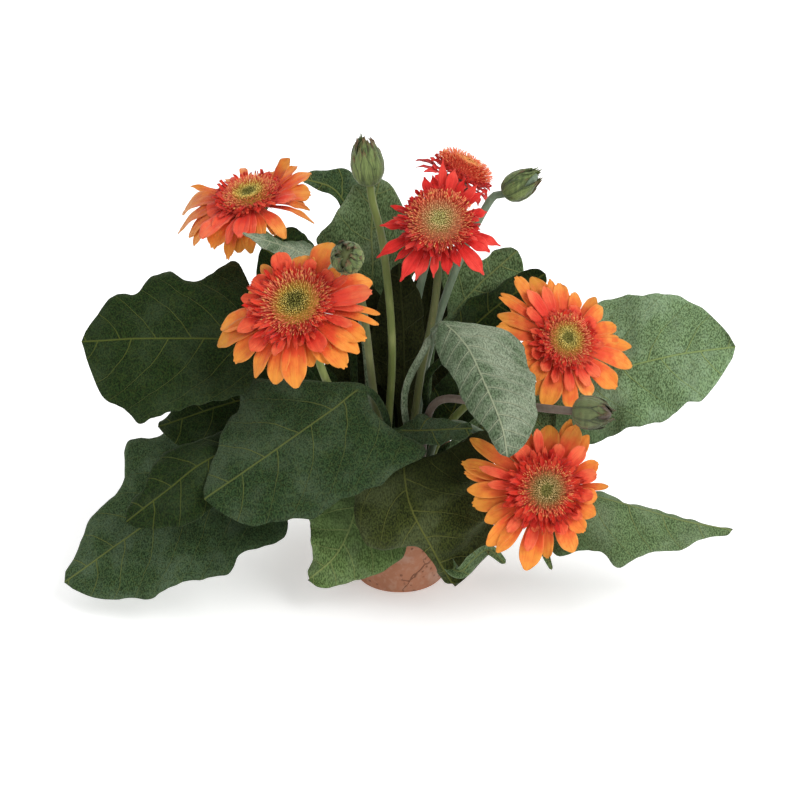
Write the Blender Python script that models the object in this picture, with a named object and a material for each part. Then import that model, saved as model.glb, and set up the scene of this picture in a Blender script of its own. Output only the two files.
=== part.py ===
"""Potted gerbera: a terracotta pot with soil, a rosette of lobed leaves, six
blooms and four buds.

Lengths in the tables below are millimetres, because every one is a small whole
number, and MM turns them into metres. +Z is up, -Y is the side that the photo
shows, and the origin is the middle of the pot's foot.

A leaf is one loft. Its path is the midrib from the soil to the tip, its left
and right lists are the half-widths at equal steps along the blade, and its bend
says how far each half folds and curls away from the midrib.
"""
import math

import bmesh
import bpy
import numpy as np
from mathutils import Matrix, Vector

MM = 0.001

# Pot
FOOT_RADIUS = 35.0
BODY_RADIUS = 46.0
BAND_RADIUS = 52.5
MOUTH_RADIUS = 46.5
POT_HEIGHT = 96.0
BAND_BOTTOM = 74.0
FLOOR_THICKNESS = 8.0
DRAIN_RADIUS = 6.0
POT_SIDES = 24

# Soil
SOIL_LEVEL = 88.0
SOIL_GAP = 0.3
ROOT_DEPTH = 8.5
ROOT_CLEAR = 2.0
SOIL_SIDES = 24

# Stalks, stems and blades
STALK_RADIUS = 2.3
STEM_RADIUS = 2.9
HOLE_GAP = 0.4
HOLE_SIDES = 6
BLADE_THICKNESS = 1.0
RIB_DEPTH = 1.1
STALK_RINGS = 3
BLADE_RINGS = 11
STEM_RINGS = 7
STEM_SIDES = 8

# Blooms
HUB_DEPTH = 3.0
HUB_GAP = 0.3
RAY_THICKNESS = 0.9
RAY_HUB = 0.9
INNER_HUB = 0.87
RAY_STATIONS = ((0.10, 0.62), (0.45, 0.98), (0.80, 0.94), (1.0, 0.46))
INNER_STATIONS = ((0.15, 0.70), (0.65, 1.0), (1.0, 0.45))
DISC_SECTORS = 14
PETAL_SEED = 7

TOP_COLUMNS = np.array([-1.0, -0.5, 0.0, 0.5, 1.0])
ROUND_ANGLES = np.radians([162.0, 126.0, 90.0, 54.0, 18.0])

# Linear colours, read from the photo by eye
COLOURS = {
    "leaf_dark": ((0.035, 0.075, 0.022), 0.8),
    "leaf_mid": ((0.07, 0.13, 0.05), 0.8),
    "leaf_pale": ((0.17, 0.24, 0.14), 0.85),
    "petal_orange": ((0.85, 0.25, 0.035), 0.6),
    "petal_coral": ((0.78, 0.10, 0.03), 0.6),
    "petal_red": ((0.62, 0.02, 0.012), 0.6),
    "disc_gold": ((0.42, 0.28, 0.05), 0.8),
    "disc_red": ((0.55, 0.16, 0.05), 0.8),
    "stem_green": ((0.10, 0.17, 0.06), 0.6),
    "bud_green": ((0.09, 0.15, 0.045), 0.7),
    "terracotta": ((0.38, 0.16, 0.09), 0.85),
    "soil_brown": ((0.05, 0.032, 0.02), 0.95),
}


def clear_scene():
    """Remove whatever objects the open file holds."""
    for item in list(bpy.data.objects):
        bpy.data.objects.remove(item, do_unlink=True)


def finish(name):
    """Return the Principled material called name, made on first use."""
    material = bpy.data.materials.get(name)
    if material is None:
        colour, roughness = COLOURS[name]
        material = bpy.data.materials.new(name)
        material.use_nodes = True
        shader = material.node_tree.nodes["Principled BSDF"]
        shader.inputs["Base Color"].default_value = (*colour, 1.0)
        shader.inputs["Roughness"].default_value = roughness
        shader.inputs["Metallic"].default_value = 0.0
    return material


def add_part(name, bm, origin, material, smooth_angle=40.0):
    """Turn a world-space bmesh in metres into an object with its own origin."""
    bmesh.ops.recalc_face_normals(bm, faces=bm.faces)
    bmesh.ops.translate(bm, verts=bm.verts, vec=-Vector(origin))
    mesh = bpy.data.meshes.new(name)
    bm.to_mesh(mesh)
    bm.free()
    part = bpy.data.objects.new(name, mesh)
    part.location = origin
    part.data.materials.append(finish(material))
    bpy.context.collection.objects.link(part)
    mesh.shade_smooth()
    mesh.set_sharp_from_angle(angle=math.radians(smooth_angle))
    return part


def smooth_step(start, end, value):
    """Rise from 0 to 1 between start and end, level at both ends."""
    t = np.clip((value - start) / (end - start), 0.0, 1.0)
    return t * t * (3.0 - 2.0 * t)


def unit(vectors):
    """Scale each row to length one."""
    vectors = np.asarray(vectors, float)
    return vectors / np.linalg.norm(vectors, axis=-1, keepdims=True)


def growth_line(knots, steps=60):
    """Run a smooth line through the knots, leaving the first one straight up."""
    knots = np.asarray(knots, float)
    slopes = np.empty_like(knots)
    slopes[1:-1] = (knots[2:] - knots[:-2]) / 2
    slopes[-1] = knots[-1] - knots[-2]
    slopes[0] = (0.0, 0.0, np.linalg.norm(knots[1] - knots[0]))
    t = np.linspace(0.0, 1.0, steps, endpoint=False)[:, None]
    spans = []
    for i in range(len(knots) - 1):
        spans.append((2 * t**3 - 3 * t**2 + 1) * knots[i] + (t**3 - 2 * t**2 + t) * slopes[i]
                     + (3 * t**2 - 2 * t**3) * knots[i + 1] + (t**3 - t**2) * slopes[i + 1])
    return np.concatenate(spans + [knots[-1:]])


def along(line, fractions):
    """Points of a line at the given fractions of its length."""
    steps = np.linalg.norm(np.diff(line, axis=0), axis=1)
    length = np.concatenate([[0.0], np.cumsum(steps)])
    wanted = np.clip(fractions, 0.0, 1.0) * length[-1]
    return np.stack([np.interp(wanted, length, line[:, k]) for k in range(3)], axis=-1)


def directions(line, fractions):
    """Unit directions of a line at the given fractions of its length."""
    fractions = np.asarray(fractions)
    return unit(along(line, fractions + 0.01) - along(line, fractions - 0.01))


def through(values, u):
    """Smooth curve through equally spaced values, read at u from 0 to 1."""
    values = np.asarray(values, float)
    last = len(values) - 1
    place = np.clip(u, 0.0, 1.0) * last
    i = np.minimum(place.astype(int), last - 1)
    t = place - i
    ends = np.concatenate([[2 * values[0] - values[1]], values, [2 * values[-1] - values[-2]]])
    a, b, c, d = ends[i], ends[i + 1], ends[i + 2], ends[i + 3]
    return 0.5 * (2 * b + (c - a) * t + (2 * a - 5 * b + 4 * c - d) * t**2 + (3 * b - a - 3 * c + d) * t**3)


def root_point(path):
    """Where a path meets the soil, in millimetres."""
    return np.array([path[0][0], path[0][1], SOIL_LEVEL])


def path_line(path, *more):
    """Smooth line from just above the soil through the rest of a path."""
    start = (path[0][0], path[0][1], SOIL_LEVEL + ROOT_CLEAR)
    return growth_line([start, *path[1:], *more])


def leaf_rings(path, base, face, left, right, bend, heart, ripple):
    """Rings of ten points, from the foot of the stalk in the soil to the leaf's tip.

    Each ring has five points on the upper side from left to right and five on
    the lower side from right to left. The stalk is round and the blade is thin,
    and between them the two sections are mixed.
    """
    line = path_line(path)
    stalk, blade = line[:60 * base + 1], line[60 * base:]
    stalk_at = np.linspace(0.0, 1.0, STALK_RINGS + 1)[:-1]
    u = np.linspace(0.0, 1.0, BLADE_RINGS)
    foot = root_point(path)[None] - (0.0, 0.0, ROOT_DEPTH)
    middle = np.concatenate([foot, along(stalk, stalk_at), along(blade, u)])
    tangent = np.concatenate([[(0.0, 0.0, 1.0)], directions(stalk, stalk_at), directions(blade, u)])
    tangent[1] = (0.0, 0.0, 1.0)
    u = np.concatenate([np.zeros(STALK_RINGS + 1), u])
    towards = (1 - u[:, None]) * np.array(face[0]) + u[:, None] * np.array(face[1])
    normal = unit(towards - (towards * tangent).sum(1, keepdims=True) * tangent)
    side = np.cross(tangent, normal)
    is_blade = smooth_step(0.0, 0.09, u)
    rows = []
    for column, angle in zip(TOP_COLUMNS, ROUND_ANGLES):
        v = (1 - is_blade) * math.cos(angle) + is_blade * column
        widths = through([STALK_RADIUS, *(left if column < 0 else right)], u)
        reach = np.abs(v) * np.maximum(widths, STALK_RADIUS)
        fold, curl = bend[:2] if column < 0 else bend[2:]
        lean = is_blade * np.radians(fold + 0.5 * curl * np.abs(v))
        slope = is_blade * np.radians(fold + curl * np.abs(v)) * np.sign(v)
        shift = 0.35 if column < 0 else 0.0
        wave = ripple * v**2 * np.sin(2 * math.pi * (3 * u + shift)) * smooth_step(0.0, 0.3, u)
        back = heart * v**2 * reach * (1 - u)**4 * is_blade
        centre = (middle + (np.sign(v) * reach * np.cos(lean))[:, None] * side
                  + (reach * np.sin(lean) + wave)[:, None] * normal - back[:, None] * tangent)
        out = np.cos(slope)[:, None] * normal - np.sin(slope)[:, None] * side
        half = (1 - is_blade) * STALK_RADIUS * math.sin(angle) + is_blade * BLADE_THICKNESS / 2
        rib = is_blade * RIB_DEPTH * (1 - u) if column == 0 else 0.0 * u
        rows.append((centre + half[:, None] * out, centre - (half + rib)[:, None] * out))
    upper = [row[0] for row in rows]
    lower = [row[1] for row in reversed(rows)]
    return np.stack(upper + lower, axis=1) * MM


def add_blade_faces(bm, verts):
    """Skin the rings, splitting each quad along one diagonal on both sides."""
    columns = len(TOP_COLUMNS)
    last = 2 * columns - 1
    for near, far in zip(verts[:-1], verts[1:]):
        for j in range(columns - 1):
            bm.faces.new((near[j], near[j + 1], far[j + 1]))
            bm.faces.new((near[j], far[j + 1], far[j]))
            bm.faces.new((near[last - j], far[last - j - 1], near[last - j - 1]))
            bm.faces.new((near[last - j], far[last - j], far[last - j - 1]))
        bm.faces.new((near[0], far[0], far[last], near[last]))
        bm.faces.new((near[columns - 1], near[columns], far[columns], far[columns - 1]))
    bm.faces.new(verts[0])
    bm.faces.new(verts[-1])


def add_rings(bm, rings):
    """Make the vertices of each ring."""
    return [[bm.verts.new(point) for point in ring] for ring in rings]


def leaf(name, colour, path, base, face, left, right, bend=(0, 0, 0, 0), heart=0.2, ripple=2.0):
    """One leaf with its stalk, as a single closed solid."""
    rings = leaf_rings(path, base, face, left, right, bend, heart, ripple)
    bm = bmesh.new()
    add_blade_faces(bm, add_rings(bm, rings))
    add_part(name, bm, root_point(path) * MM, colour, 60.0)
    return (path[0][0], path[0][1], STALK_RADIUS)


def stem_frame(line, fractions):
    """Points, directions and one carried side vector along a stem."""
    points = along(line, fractions)
    tangents = directions(line, fractions)
    side = np.array([1.0, 0.0, 0.0])
    sides = []
    for tangent in tangents:
        side = unit(side - side.dot(tangent) * tangent)
        sides.append(side)
    return points, tangents, np.array(sides)


def circle_rings(points, tangents, sides, radii, count):
    """Circles of the given radii around points, square to the tangents."""
    angle = np.arange(count) * 2 * math.pi / count
    across = np.cross(tangents, sides)
    ring = np.cos(angle)[None, :, None] * sides[:, None] + np.sin(angle)[None, :, None] * across[:, None]
    return points[:, None] + np.asarray(radii)[:, None, None] * ring


def skin(bm, verts):
    """Join neighbouring rings with quads and close both ends."""
    for near, far in zip(verts[:-1], verts[1:]):
        for j in range(len(near)):
            k = (j + 1) % len(near)
            bm.faces.new((near[j], near[k], far[k], far[j]))
    bm.faces.new(verts[0])
    bm.faces.new(verts[-1])


def stem_rings(path, tip, axis, cup):
    """Rings of a stem from the soil to its tip, followed by a cup along axis.

    cup is a list of (distance past the tip, radius) pairs.
    """
    line = path_line(path, tip)
    points, tangents, sides = stem_frame(line, np.linspace(0.0, 1.0, STEM_RINGS))
    tangents[0] = (0.0, 0.0, 1.0)
    foot = root_point(path)[None] - (0.0, 0.0, ROOT_DEPTH)
    side = unit(sides[-1] - sides[-1].dot(axis) * axis)
    tangents[-1] = axis
    sides[-1] = side
    cup = np.array(cup, float)
    points = np.concatenate([foot, points, np.asarray(tip) + cup[:, :1] * axis])
    tangents = np.concatenate([[(0.0, 0.0, 1.0)], tangents, np.repeat(axis[None], len(cup), 0)])
    sides = np.concatenate([sides[:1], sides, np.repeat(side[None], len(cup), 0)])
    radii = np.concatenate([np.full(STEM_RINGS + 1, STEM_RADIUS), cup[:, 1]])
    return circle_rings(points, tangents, sides, radii, STEM_SIDES) * MM


def bloom_frame(centre, axis):
    """Matrix that stands a bloom's own z along axis at centre, in metres."""
    z = Vector(axis).normalized()
    x = Vector((0.0, 0.0, 1.0)).cross(z)
    if x.length < 0.1:
        x = Vector((1.0, 0.0, 0.0))
    x.normalize()
    y = z.cross(x)
    turn = Matrix((x, y, z)).transposed().to_4x4()
    return Matrix.Translation(Vector(centre) * MM) @ turn


def add_petals(bm, low, hub, count, length, width, lift, droop, sag, stations, missing, lean, seed):
    """A hub with petals drawn out of its sides, in two layers that pass clear.

    Odd petals leave the upper half of the hub's edge and even ones the lower
    half, so neighbours that widen past each other do not meet. A missing petal
    leaves room for a bud that stands in front of the bloom. Lean makes the
    petals longer towards one side: its two parts are shares to the bloom's
    right and to its top.
    """
    draw = np.random.default_rng(seed)
    high = low + HUB_DEPTH
    pitch = 2 * math.pi / count
    corners = []
    for i in range(count):
        for turn in (-0.4, 0.4):
            angle = (i + turn) * pitch
            corners.append((hub * math.cos(angle), hub * math.sin(angle)))
    bottom = [bm.verts.new((x * MM, y * MM, low * MM)) for x, y in corners]
    top = [bm.verts.new((x * MM, y * MM, high * MM)) for x, y in corners]
    bm.faces.new(bottom)
    bm.faces.new(top)
    for i in range(count):
        a, b = 2 * i, 2 * i + 1
        c = (2 * i + 2) % (2 * count)
        bm.faces.new((bottom[b], bottom[c], top[c], top[b]))
        angle = i * pitch
        grown = 1 + lean[0] * math.cos(angle) + lean[1] * math.sin(angle)
        reach = length * (grown + 0.07 * draw.uniform(-1, 1))
        if i in missing:
            bm.faces.new((bottom[a], bottom[b], top[b], top[a]))
            continue
        upper = i % 2 == 1
        start = high - RAY_THICKNESS / 2 if upper else low + RAY_THICKNESS / 2
        fall = droop + sag * (1 - math.sin(angle)) / 2 + 0.03 * draw.uniform(-1, 1)
        section = [bottom[a], bottom[b], top[b], top[a]]
        for s, share in stations:
            out = hub * math.cos(0.4 * pitch) + reach * s
            height = start + lift * reach * s - fall * reach * s * s
            half = share * width / 2
            points = [(out, -half, -RAY_THICKNESS / 2), (out, half, -RAY_THICKNESS / 2),
                      (out, half, RAY_THICKNESS / 2), (out, -half, RAY_THICKNESS / 2)]
            following = []
            for x, y, z in points:
                place = (x * math.cos(angle) - y * math.sin(angle), x * math.sin(angle) + y * math.cos(angle))
                following.append(bm.verts.new((place[0] * MM, place[1] * MM, (height + z) * MM)))
            for j in range(4):
                k = (j + 1) % 4
                bm.faces.new((section[j], section[k], following[k], following[j]))
            section = following
        bm.faces.new(section)


def add_disc(bm, low, radius):
    """Domed head of florets with a dip in the middle and a relief of bumps."""
    profile = ((0.92, 0.0, 0), (1.0, 1.8, 0), (0.9, 5.2, 1), (0.68, 7.4, 1), (0.44, 7.6, 1), (0.2, 6.0, 0))
    rings = []
    for row, (share, height, bumpy) in enumerate(profile):
        ring = []
        for j in range(DISC_SECTORS):
            angle = (j + 0.5 * (row % 2)) * 2 * math.pi / DISC_SECTORS
            bump = bumpy * 0.7 * (-1) ** (j + row)
            far = radius * share * (1 + 0.02 * bump)
            ring.append((far * math.cos(angle) * MM, far * math.sin(angle) * MM, (low + height + bump) * MM))
        rings.append(ring)
    skin(bm, add_rings(bm, rings))


def bloom(number, centre, axis, reach, disc, rays, colours, path, droop=0.1, sag=0.0, lean=(0.0, 0.0),
          missing=((), ())):
    """A bloom of four nodes: stem with its cup, outer rays, inner rays, disc.

    centre is the middle of the back of the outer rays and reach is the radius
    of the outer rays.
    """
    axis = unit(np.array(axis, float))
    centre = np.array(centre, float)
    name = f"bloom_{number}"
    bm = bmesh.new()
    tip = centre - 9.0 * axis
    cup = ((2.5, 7.0), (5.5, 11.5), (9.0 - HUB_GAP, 13.0))
    skin(bm, add_rings(bm, stem_rings([*path, centre - 24.0 * axis], tip, axis, cup)))
    add_part(f"{name}_stem", bm, root_point(path) * MM, "stem_green")
    frame = bloom_frame(centre, axis)
    level = 0.0
    low, high = RAY_HUB * disc, INNER_HUB * disc
    outer = (low, rays[0], reach - low, 0.37 * reach, 0.10, droop, sag, RAY_STATIONS, missing[0])
    inner = (high, rays[1], 0.76 * reach - high, 0.27 * reach, 0.16, 0.4 * droop, 0.3 * sag,
             INNER_STATIONS, missing[1])
    for layer, sizes in (("rays", outer), ("inner_rays", inner)):
        bm = bmesh.new()
        add_petals(bm, level, *sizes, lean, PETAL_SEED + number)
        bmesh.ops.transform(bm, matrix=frame, verts=bm.verts)
        colour = colours[0] if layer == "rays" else colours[1]
        add_part(f"{name}_{layer}", bm, centre * MM, colour, 50.0)
        level += HUB_DEPTH + HUB_GAP
    bm = bmesh.new()
    add_disc(bm, level, disc)
    bmesh.ops.transform(bm, matrix=frame, verts=bm.verts)
    add_part(f"{name}_disc", bm, centre * MM, colours[2], 30.0)
    return (path[0][0], path[0][1], STEM_RADIUS)


def bud(number, centre, axis, size, path):
    """A closed bud on its stem; its bracts show as ridges up the side."""
    axis = unit(np.array(axis, float))
    centre = np.array(centre, float)
    length, radius = size
    tip = centre - 0.5 * length * axis
    cup = [(0.06 * length, 0.62 * radius), (0.24 * length, 0.95 * radius), (0.45 * length, radius),
           (0.66 * length, 0.86 * radius), (0.85 * length, 0.58 * radius), (length, 0.22 * radius)]
    rings = stem_rings([*path, tip - 14.0 * axis], tip, axis, cup)
    for row in range(len(rings) - len(cup), len(rings)):
        middle = rings[row].mean(axis=0)
        share = 1 + 0.07 * (-1.0) ** (np.arange(STEM_SIDES) + row)
        rings[row] = middle + (rings[row] - middle) * share[:, None]
    bm = bmesh.new()
    skin(bm, add_rings(bm, rings))
    add_part(f"bud_{number}", bm, root_point(path) * MM, "bud_green")
    return (path[0][0], path[0][1], STEM_RADIUS)


def turned(name, profile, sides, material, smooth_angle=35.0):
    """Spin a closed profile of (radius, height) pairs around +Z."""
    bm = bmesh.new()
    rings = []
    for k in range(sides):
        angle = 2 * math.pi * k / sides
        across, deep = math.cos(angle) * MM, math.sin(angle) * MM
        rings.append([bm.verts.new((r * across, r * deep, z * MM)) for r, z in profile])
    for k in range(sides):
        near, far = rings[k], rings[(k + 1) % sides]
        for j in range(len(profile)):
            i = (j + 1) % len(profile)
            bm.faces.new((near[j], near[i], far[i], far[j]))
    return add_part(name, bm, (0.0, 0.0, 0.0), material, smooth_angle)


def make_pot():
    """Terracotta pot: tapered body, rim band, floor with a drain hole."""
    wall_at_band = BODY_RADIUS - 7.0
    profile = [
        (DRAIN_RADIUS, 0.0), (FOOT_RADIUS - 1.0, 0.0), (FOOT_RADIUS, 1.2),
        (BODY_RADIUS, BAND_BOTTOM), (BAND_RADIUS - 1.2, BAND_BOTTOM), (BAND_RADIUS, BAND_BOTTOM + 1.5),
        (BAND_RADIUS, POT_HEIGHT - 1.8), (BAND_RADIUS - 1.8, POT_HEIGHT), (MOUTH_RADIUS + 0.8, POT_HEIGHT),
        (MOUTH_RADIUS, POT_HEIGHT - 1.0), (MOUTH_RADIUS - 0.5, BAND_BOTTOM + 4.5),
        (wall_at_band, BAND_BOTTOM),
        (FOOT_RADIUS - 6.0, FLOOR_THICKNESS), (DRAIN_RADIUS, FLOOR_THICKNESS),
    ]
    turned("pot", profile, POT_SIDES, "terracotta")


def make_soil(roots):
    """Soil that fills the pot, crumbly on top, with a plain hole for each root."""
    gap = SOIL_GAP + 0.2
    lip = 2.0 * gap
    draw = np.random.default_rng(PETAL_SEED)
    levels = [
        (FOOT_RADIUS - 6.0 - gap, FLOOR_THICKNESS + SOIL_GAP), (BODY_RADIUS - 7.0 - gap, BAND_BOTTOM),
        (MOUTH_RADIUS - 0.5 - lip, BAND_BOTTOM + 5.0), (MOUTH_RADIUS - lip, SOIL_LEVEL - 1.0),
        (30.0, SOIL_LEVEL), (14.0, SOIL_LEVEL),
    ]
    rings = []
    for row, (radius, height) in enumerate(levels):
        ring = []
        for k in range(SOIL_SIDES):
            angle = 2 * math.pi * k / SOIL_SIDES
            bump = draw.uniform(-0.8, 0.9) if row > 3 else 0.0
            ring.append((radius * math.cos(angle) * MM, radius * math.sin(angle) * MM, (height + bump) * MM))
        rings.append(ring)
    bm = bmesh.new()
    skin(bm, add_rings(bm, rings))
    bmesh.ops.triangulate(bm, faces=[face for face in bm.faces if len(face.verts) > 4])
    soil = add_part("soil", bm, (0.0, 0.0, 0.0), "soil_brown")
    cutters = bpy.data.collections.new("root_holes")
    bpy.context.scene.collection.children.link(cutters)
    bm = bmesh.new()
    for x, y, radius in roots:
        wide = (radius + HOLE_GAP) / math.cos(math.pi / HOLE_SIDES)
        place = Matrix.Translation(Vector((x, y, SOIL_LEVEL - ROOT_DEPTH - SOIL_GAP + 10.0)) * MM)
        bmesh.ops.create_cone(bm, cap_ends=True, segments=HOLE_SIDES, radius1=wide * MM,
                              radius2=wide * MM, depth=20.0 * MM, matrix=place)
    mesh = bpy.data.meshes.new("root_holes")
    bm.to_mesh(mesh)
    bm.free()
    cutter = bpy.data.objects.new("root_holes", mesh)
    cutters.objects.link(cutter)
    cutter.hide_render = True
    cutter.display_type = "WIRE"
    holes = soil.modifiers.new("root_holes", "BOOLEAN")
    holes.operation = "DIFFERENCE"
    holes.solver = "EXACT"
    holes.object = cutter


def grow_leaves():
    """All leaves, front and sides first, and the roots that they need."""
    roots = []
    roots.append(leaf(
        "leaf_left_high", "leaf_dark", base=2, heart=0.25, bend=(4, 10, -6, -12),
        path=((-36, 10), (-67, 5, 167), (-102, -5, 199), (-172, -15, 208), (-233, -22, 209)),
        face=((0.0, -0.75, 0.66), (0.0, -0.75, 0.66)),
        left=(36, 46, 50, 53, 57, 62, 67, 52, 44, 4),
        right=(37, 66, 54, 47, 55, 52, 37, 37, 24, 4)))
    roots.append(leaf(
        "leaf_left_low", "leaf_dark", base=2, heart=0.2, bend=(0, 0, -4, -12),
        path=((-40, -8), (-53, -10, 122), (-103, -22, 122), (-150, -34, 93), (-197, -45, 62),
              (-253, -56, 23)),
        face=((-0.1, -0.62, 0.78), (-0.25, -0.6, 0.76)),
        left=(60, 73, 65, 71, 62, 55, 54, 40, 29, 4),
        right=(31, 52, 60, 63, 74, 45, 39, 33, 19, 4)))
    roots.append(leaf(
        "leaf_left_fold", "leaf_mid", base=2, heart=0.1, bend=(0, 0, 0, -10),
        path=((-40, 2), (-62, 4, 147), (-97, -4, 156), (-140, -14, 149), (-180, -24, 139)),
        face=((-0.1, -0.75, 0.65), (-0.1, -0.5, 0.85)),
        left=(13, 20, 25, 28, 29, 30, 28, 24, 19, 4),
        right=(14, 23, 23, 20, 16, 11, 12, 10, 8, 4)))
    roots.append(leaf(
        "leaf_left_grey", "leaf_mid", base=2, heart=0.1, bend=(0, -10, 0, -16),
        path=((-38, -18), (-58, -32, 132), (-101, -46, 143), (-141, -60, 131), (-170, -70, 112),
              (-201, -76, 88)),
        face=((-0.2, -0.6, 0.77), (-0.2, -0.6, 0.77)),
        left=(16, 25, 31, 33, 32, 34, 31, 23, 16, 4),
        right=(6, 17, 19, 20, 26, 29, 22, 13, 14, 4)))
    roots.append(leaf(
        "leaf_front_big", "leaf_dark", base=2, heart=0.35, bend=(0, -6, -6, -14),
        path=((-20, -30), (-9, -24, 138), (-25, -34, 176), (-51, -52, 167), (-96, -74, 143),
              (-142, -88, 114)),
        face=((0.05, -0.66, 0.75), (-0.1, -0.7, 0.7)),
        left=(66, 65, 66, 61, 57, 59, 49, 41, 33, 4),
        right=(13, 28, 41, 54, 60, 47, 42, 30, 20, 4)))
    roots.append(leaf(
        "leaf_front_light", "leaf_mid", base=2, heart=0.3, bend=(0, -8, 0, -8),
        path=((-26, -27), (-25, -42, 122), (-28, -56, 110), (-36, -65, 80), (-48, -67, 54), (-68, -65, 32)),
        face=((-0.1, -0.95, 0.3), (-0.1, -0.9, 0.4)),
        left=(24, 32, 40, 45, 43, 34, 26, 21, 15, 5),
        right=(18, 25, 29, 32, 31, 28, 22, 15, 9, 4)))
    roots.append(leaf(
        "leaf_front_drape", "leaf_mid", base=2, heart=0.62, bend=(0, -6, -4, -8),
        path=((8, -36), (2, -46, 128), (2, -62, 134), (7, -82, 107), (23, -88, 73), (39, -80, 37)),
        face=((0.0, -0.8, 0.6), (0.15, -0.9, 0.42)),
        left=(64, 66, 68, 69, 66, 57, 51, 48, 46, 6),
        right=(18, 34, 40, 42, 34, 10, 5, 5, 5, 4)))
    roots.append(leaf(
        "leaf_centre_pale", "leaf_pale", base=3, heart=0.2, bend=(0, -14, -18, -24),
        path=((12, -24), (3, -28, 164), (17, -40, 210), (29, -54, 239), (47, -74, 232),
              (61, -94, 209), (72, -108, 184), (76, -114, 164)),
        face=((0.3, -0.4, 0.85), (0.2, -0.85, 0.5)),
        left=(15, 27, 37, 43, 39, 38, 33, 31, 19, 4),
        right=(16, 19, 20, 21, 19, 17, 17, 12, 8, 4)))
    roots.append(leaf(
        "leaf_right_high", "leaf_mid", base=2, heart=0.2, bend=(-4, -6, -4, -14),
        path=((34, 4), (75, 2, 144), (111, 6, 151), (157, 4, 171), (202, -2, 187), (248, -6, 197)),
        face=((0.1, -0.7, 0.7), (0.2, -0.75, 0.62)),
        left=(26, 46, 50, 56, 56, 51, 49, 41, 26, 4),
        right=(36, 45, 46, 45, 46, 44, 37, 36, 21, 4)))
    roots.append(leaf(
        "leaf_right_low", "leaf_mid", base=2, heart=0.1, bend=(-50, -10, -4, -10),
        path=((30, -19), (70, -36, 120), (115, -52, 106), (163, -58, 94), (208, -54, 77), (249, -46, 63)),
        face=((0.05, -0.5, 0.85), (0.15, -0.5, 0.85)),
        left=(16, 24, 26, 26, 24, 22, 18, 14, 9, 4),
        right=(52, 45, 41, 51, 37, 28, 25, 14, 7, 4)))
    roots.append(leaf(
        "leaf_back_centre", "leaf_dark", base=2, heart=0.2, bend=(0, 6, 0, 6),
        path=((-6, 30), (-11, 48, 158), (-20, 62, 202), (-21, 70, 230), (-21, 76, 263), (-15, 78, 296)),
        face=((0, -0.85, 0.5), (0, -0.7, 0.7)),
        left=(17, 32, 37, 37, 42, 33, 26, 21, 18, 4),
        right=(22, 30, 35, 36, 35, 32, 28, 23, 14, 4)))
    roots.append(leaf(
        "leaf_back_left_tip", "leaf_dark", base=2, heart=0.1, bend=(0, 0, 0, 0),
        path=((-19, 31), (-18, 70, 173), (-28, 92, 220), (-35, 102, 249), (-50, 106, 274), (-75, 104, 285)),
        face=((0.1, -0.6, 0.8), (0.1, -0.6, 0.8)),
        left=(5, 9, 10, 8, 5, 5, 5, 5, 5, 4),
        right=(5, 13, 15, 16, 18, 21, 20, 12, 10, 4)))
    roots.append(leaf(
        "leaf_left_pale_fold", "leaf_pale", base=2, heart=0.0, bend=(20, 10, -20, -20),
        path=((-22, 14), (-27, 14, 199), (-43, 10, 247), (-73, 6, 268), (-114, -3, 287)),
        face=((0.1, -0.55, 0.82), (0.1, -0.55, 0.82)),
        left=(9, 14, 17, 18, 17, 15, 13, 10, 7, 3),
        right=(8, 13, 16, 15, 11, 9, 8, 7, 5, 3)))
    roots.append(leaf(
        "leaf_left_dark_high", "leaf_dark", base=2, heart=0.1, bend=(0, 6, 0, 0),
        path=((-36, 21), (-36, 24, 183), (-52, 24, 216), (-74, 26, 239), (-102, 30, 262)),
        face=((-0.2, -0.75, 0.65), (-0.2, -0.75, 0.65)),
        left=(21, 26, 29, 30, 31, 32, 31, 25, 16, 4),
        right=(7, 12, 18, 23, 24, 25, 26, 26, 23, 4)))
    roots.append(leaf(
        "leaf_right_back_grey", "leaf_mid", base=2, heart=0.2, bend=(4, 10, 0, 4),
        path=((20, 28), (24, 44, 169), (38, 54, 191), (59, 62, 214), (89, 68, 241)),
        face=((0.1, -0.8, 0.6), (0.1, -0.8, 0.6)),
        left=(8, 18, 26, 30, 25, 15, 11, 12, 9, 4),
        right=(17, 20, 23, 24, 24, 24, 23, 22, 15, 4)))
    roots.append(leaf(
        "leaf_right_back_dark", "leaf_dark", base=2, heart=0.1, bend=(0, 0, 0, -10),
        path=((28, 20), (19, 26, 148), (38, 34, 172), (68, 40, 203), (109, 42, 234)),
        face=((0.1, -0.6, 0.78), (0.1, -0.6, 0.78)),
        left=(13, 15, 16, 19, 15, 11, 13, 13, 10, 4),
        right=(11, 20, 24, 28, 28, 27, 26, 20, 10, 4)))
    roots.append(leaf(
        "leaf_inner_left", "leaf_dark", base=1, heart=0.2, bend=(0, 0, 0, 0),
        path=((-16, 8), (-17, 27, 120), (-20, 34, 158), (-29, 38, 200), (-38, 37, 238)),
        face=((0.1, -0.85, 0.5), (0.1, -0.85, 0.5)),
        left=(9, 13, 26, 31, 31, 28, 23, 17, 11, 4),
        right=(14, 20, 24, 26, 26, 25, 22, 17, 11, 4)))
    roots.append(leaf(
        "leaf_inner_right", "leaf_mid", base=1, heart=0.2, bend=(0, 0, 0, 0),
        path=((0, 10), (1, 17, 116), (3, 24, 154), (2, 30, 201), (-1, 33, 247)),
        face=((0.1, -0.85, 0.5), (0.1, -0.85, 0.5)),
        left=(4, 10, 22, 27, 27, 24, 20, 16, 10, 4),
        right=(10, 12, 13, 16, 17, 16, 16, 14, 9, 4)))
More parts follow.
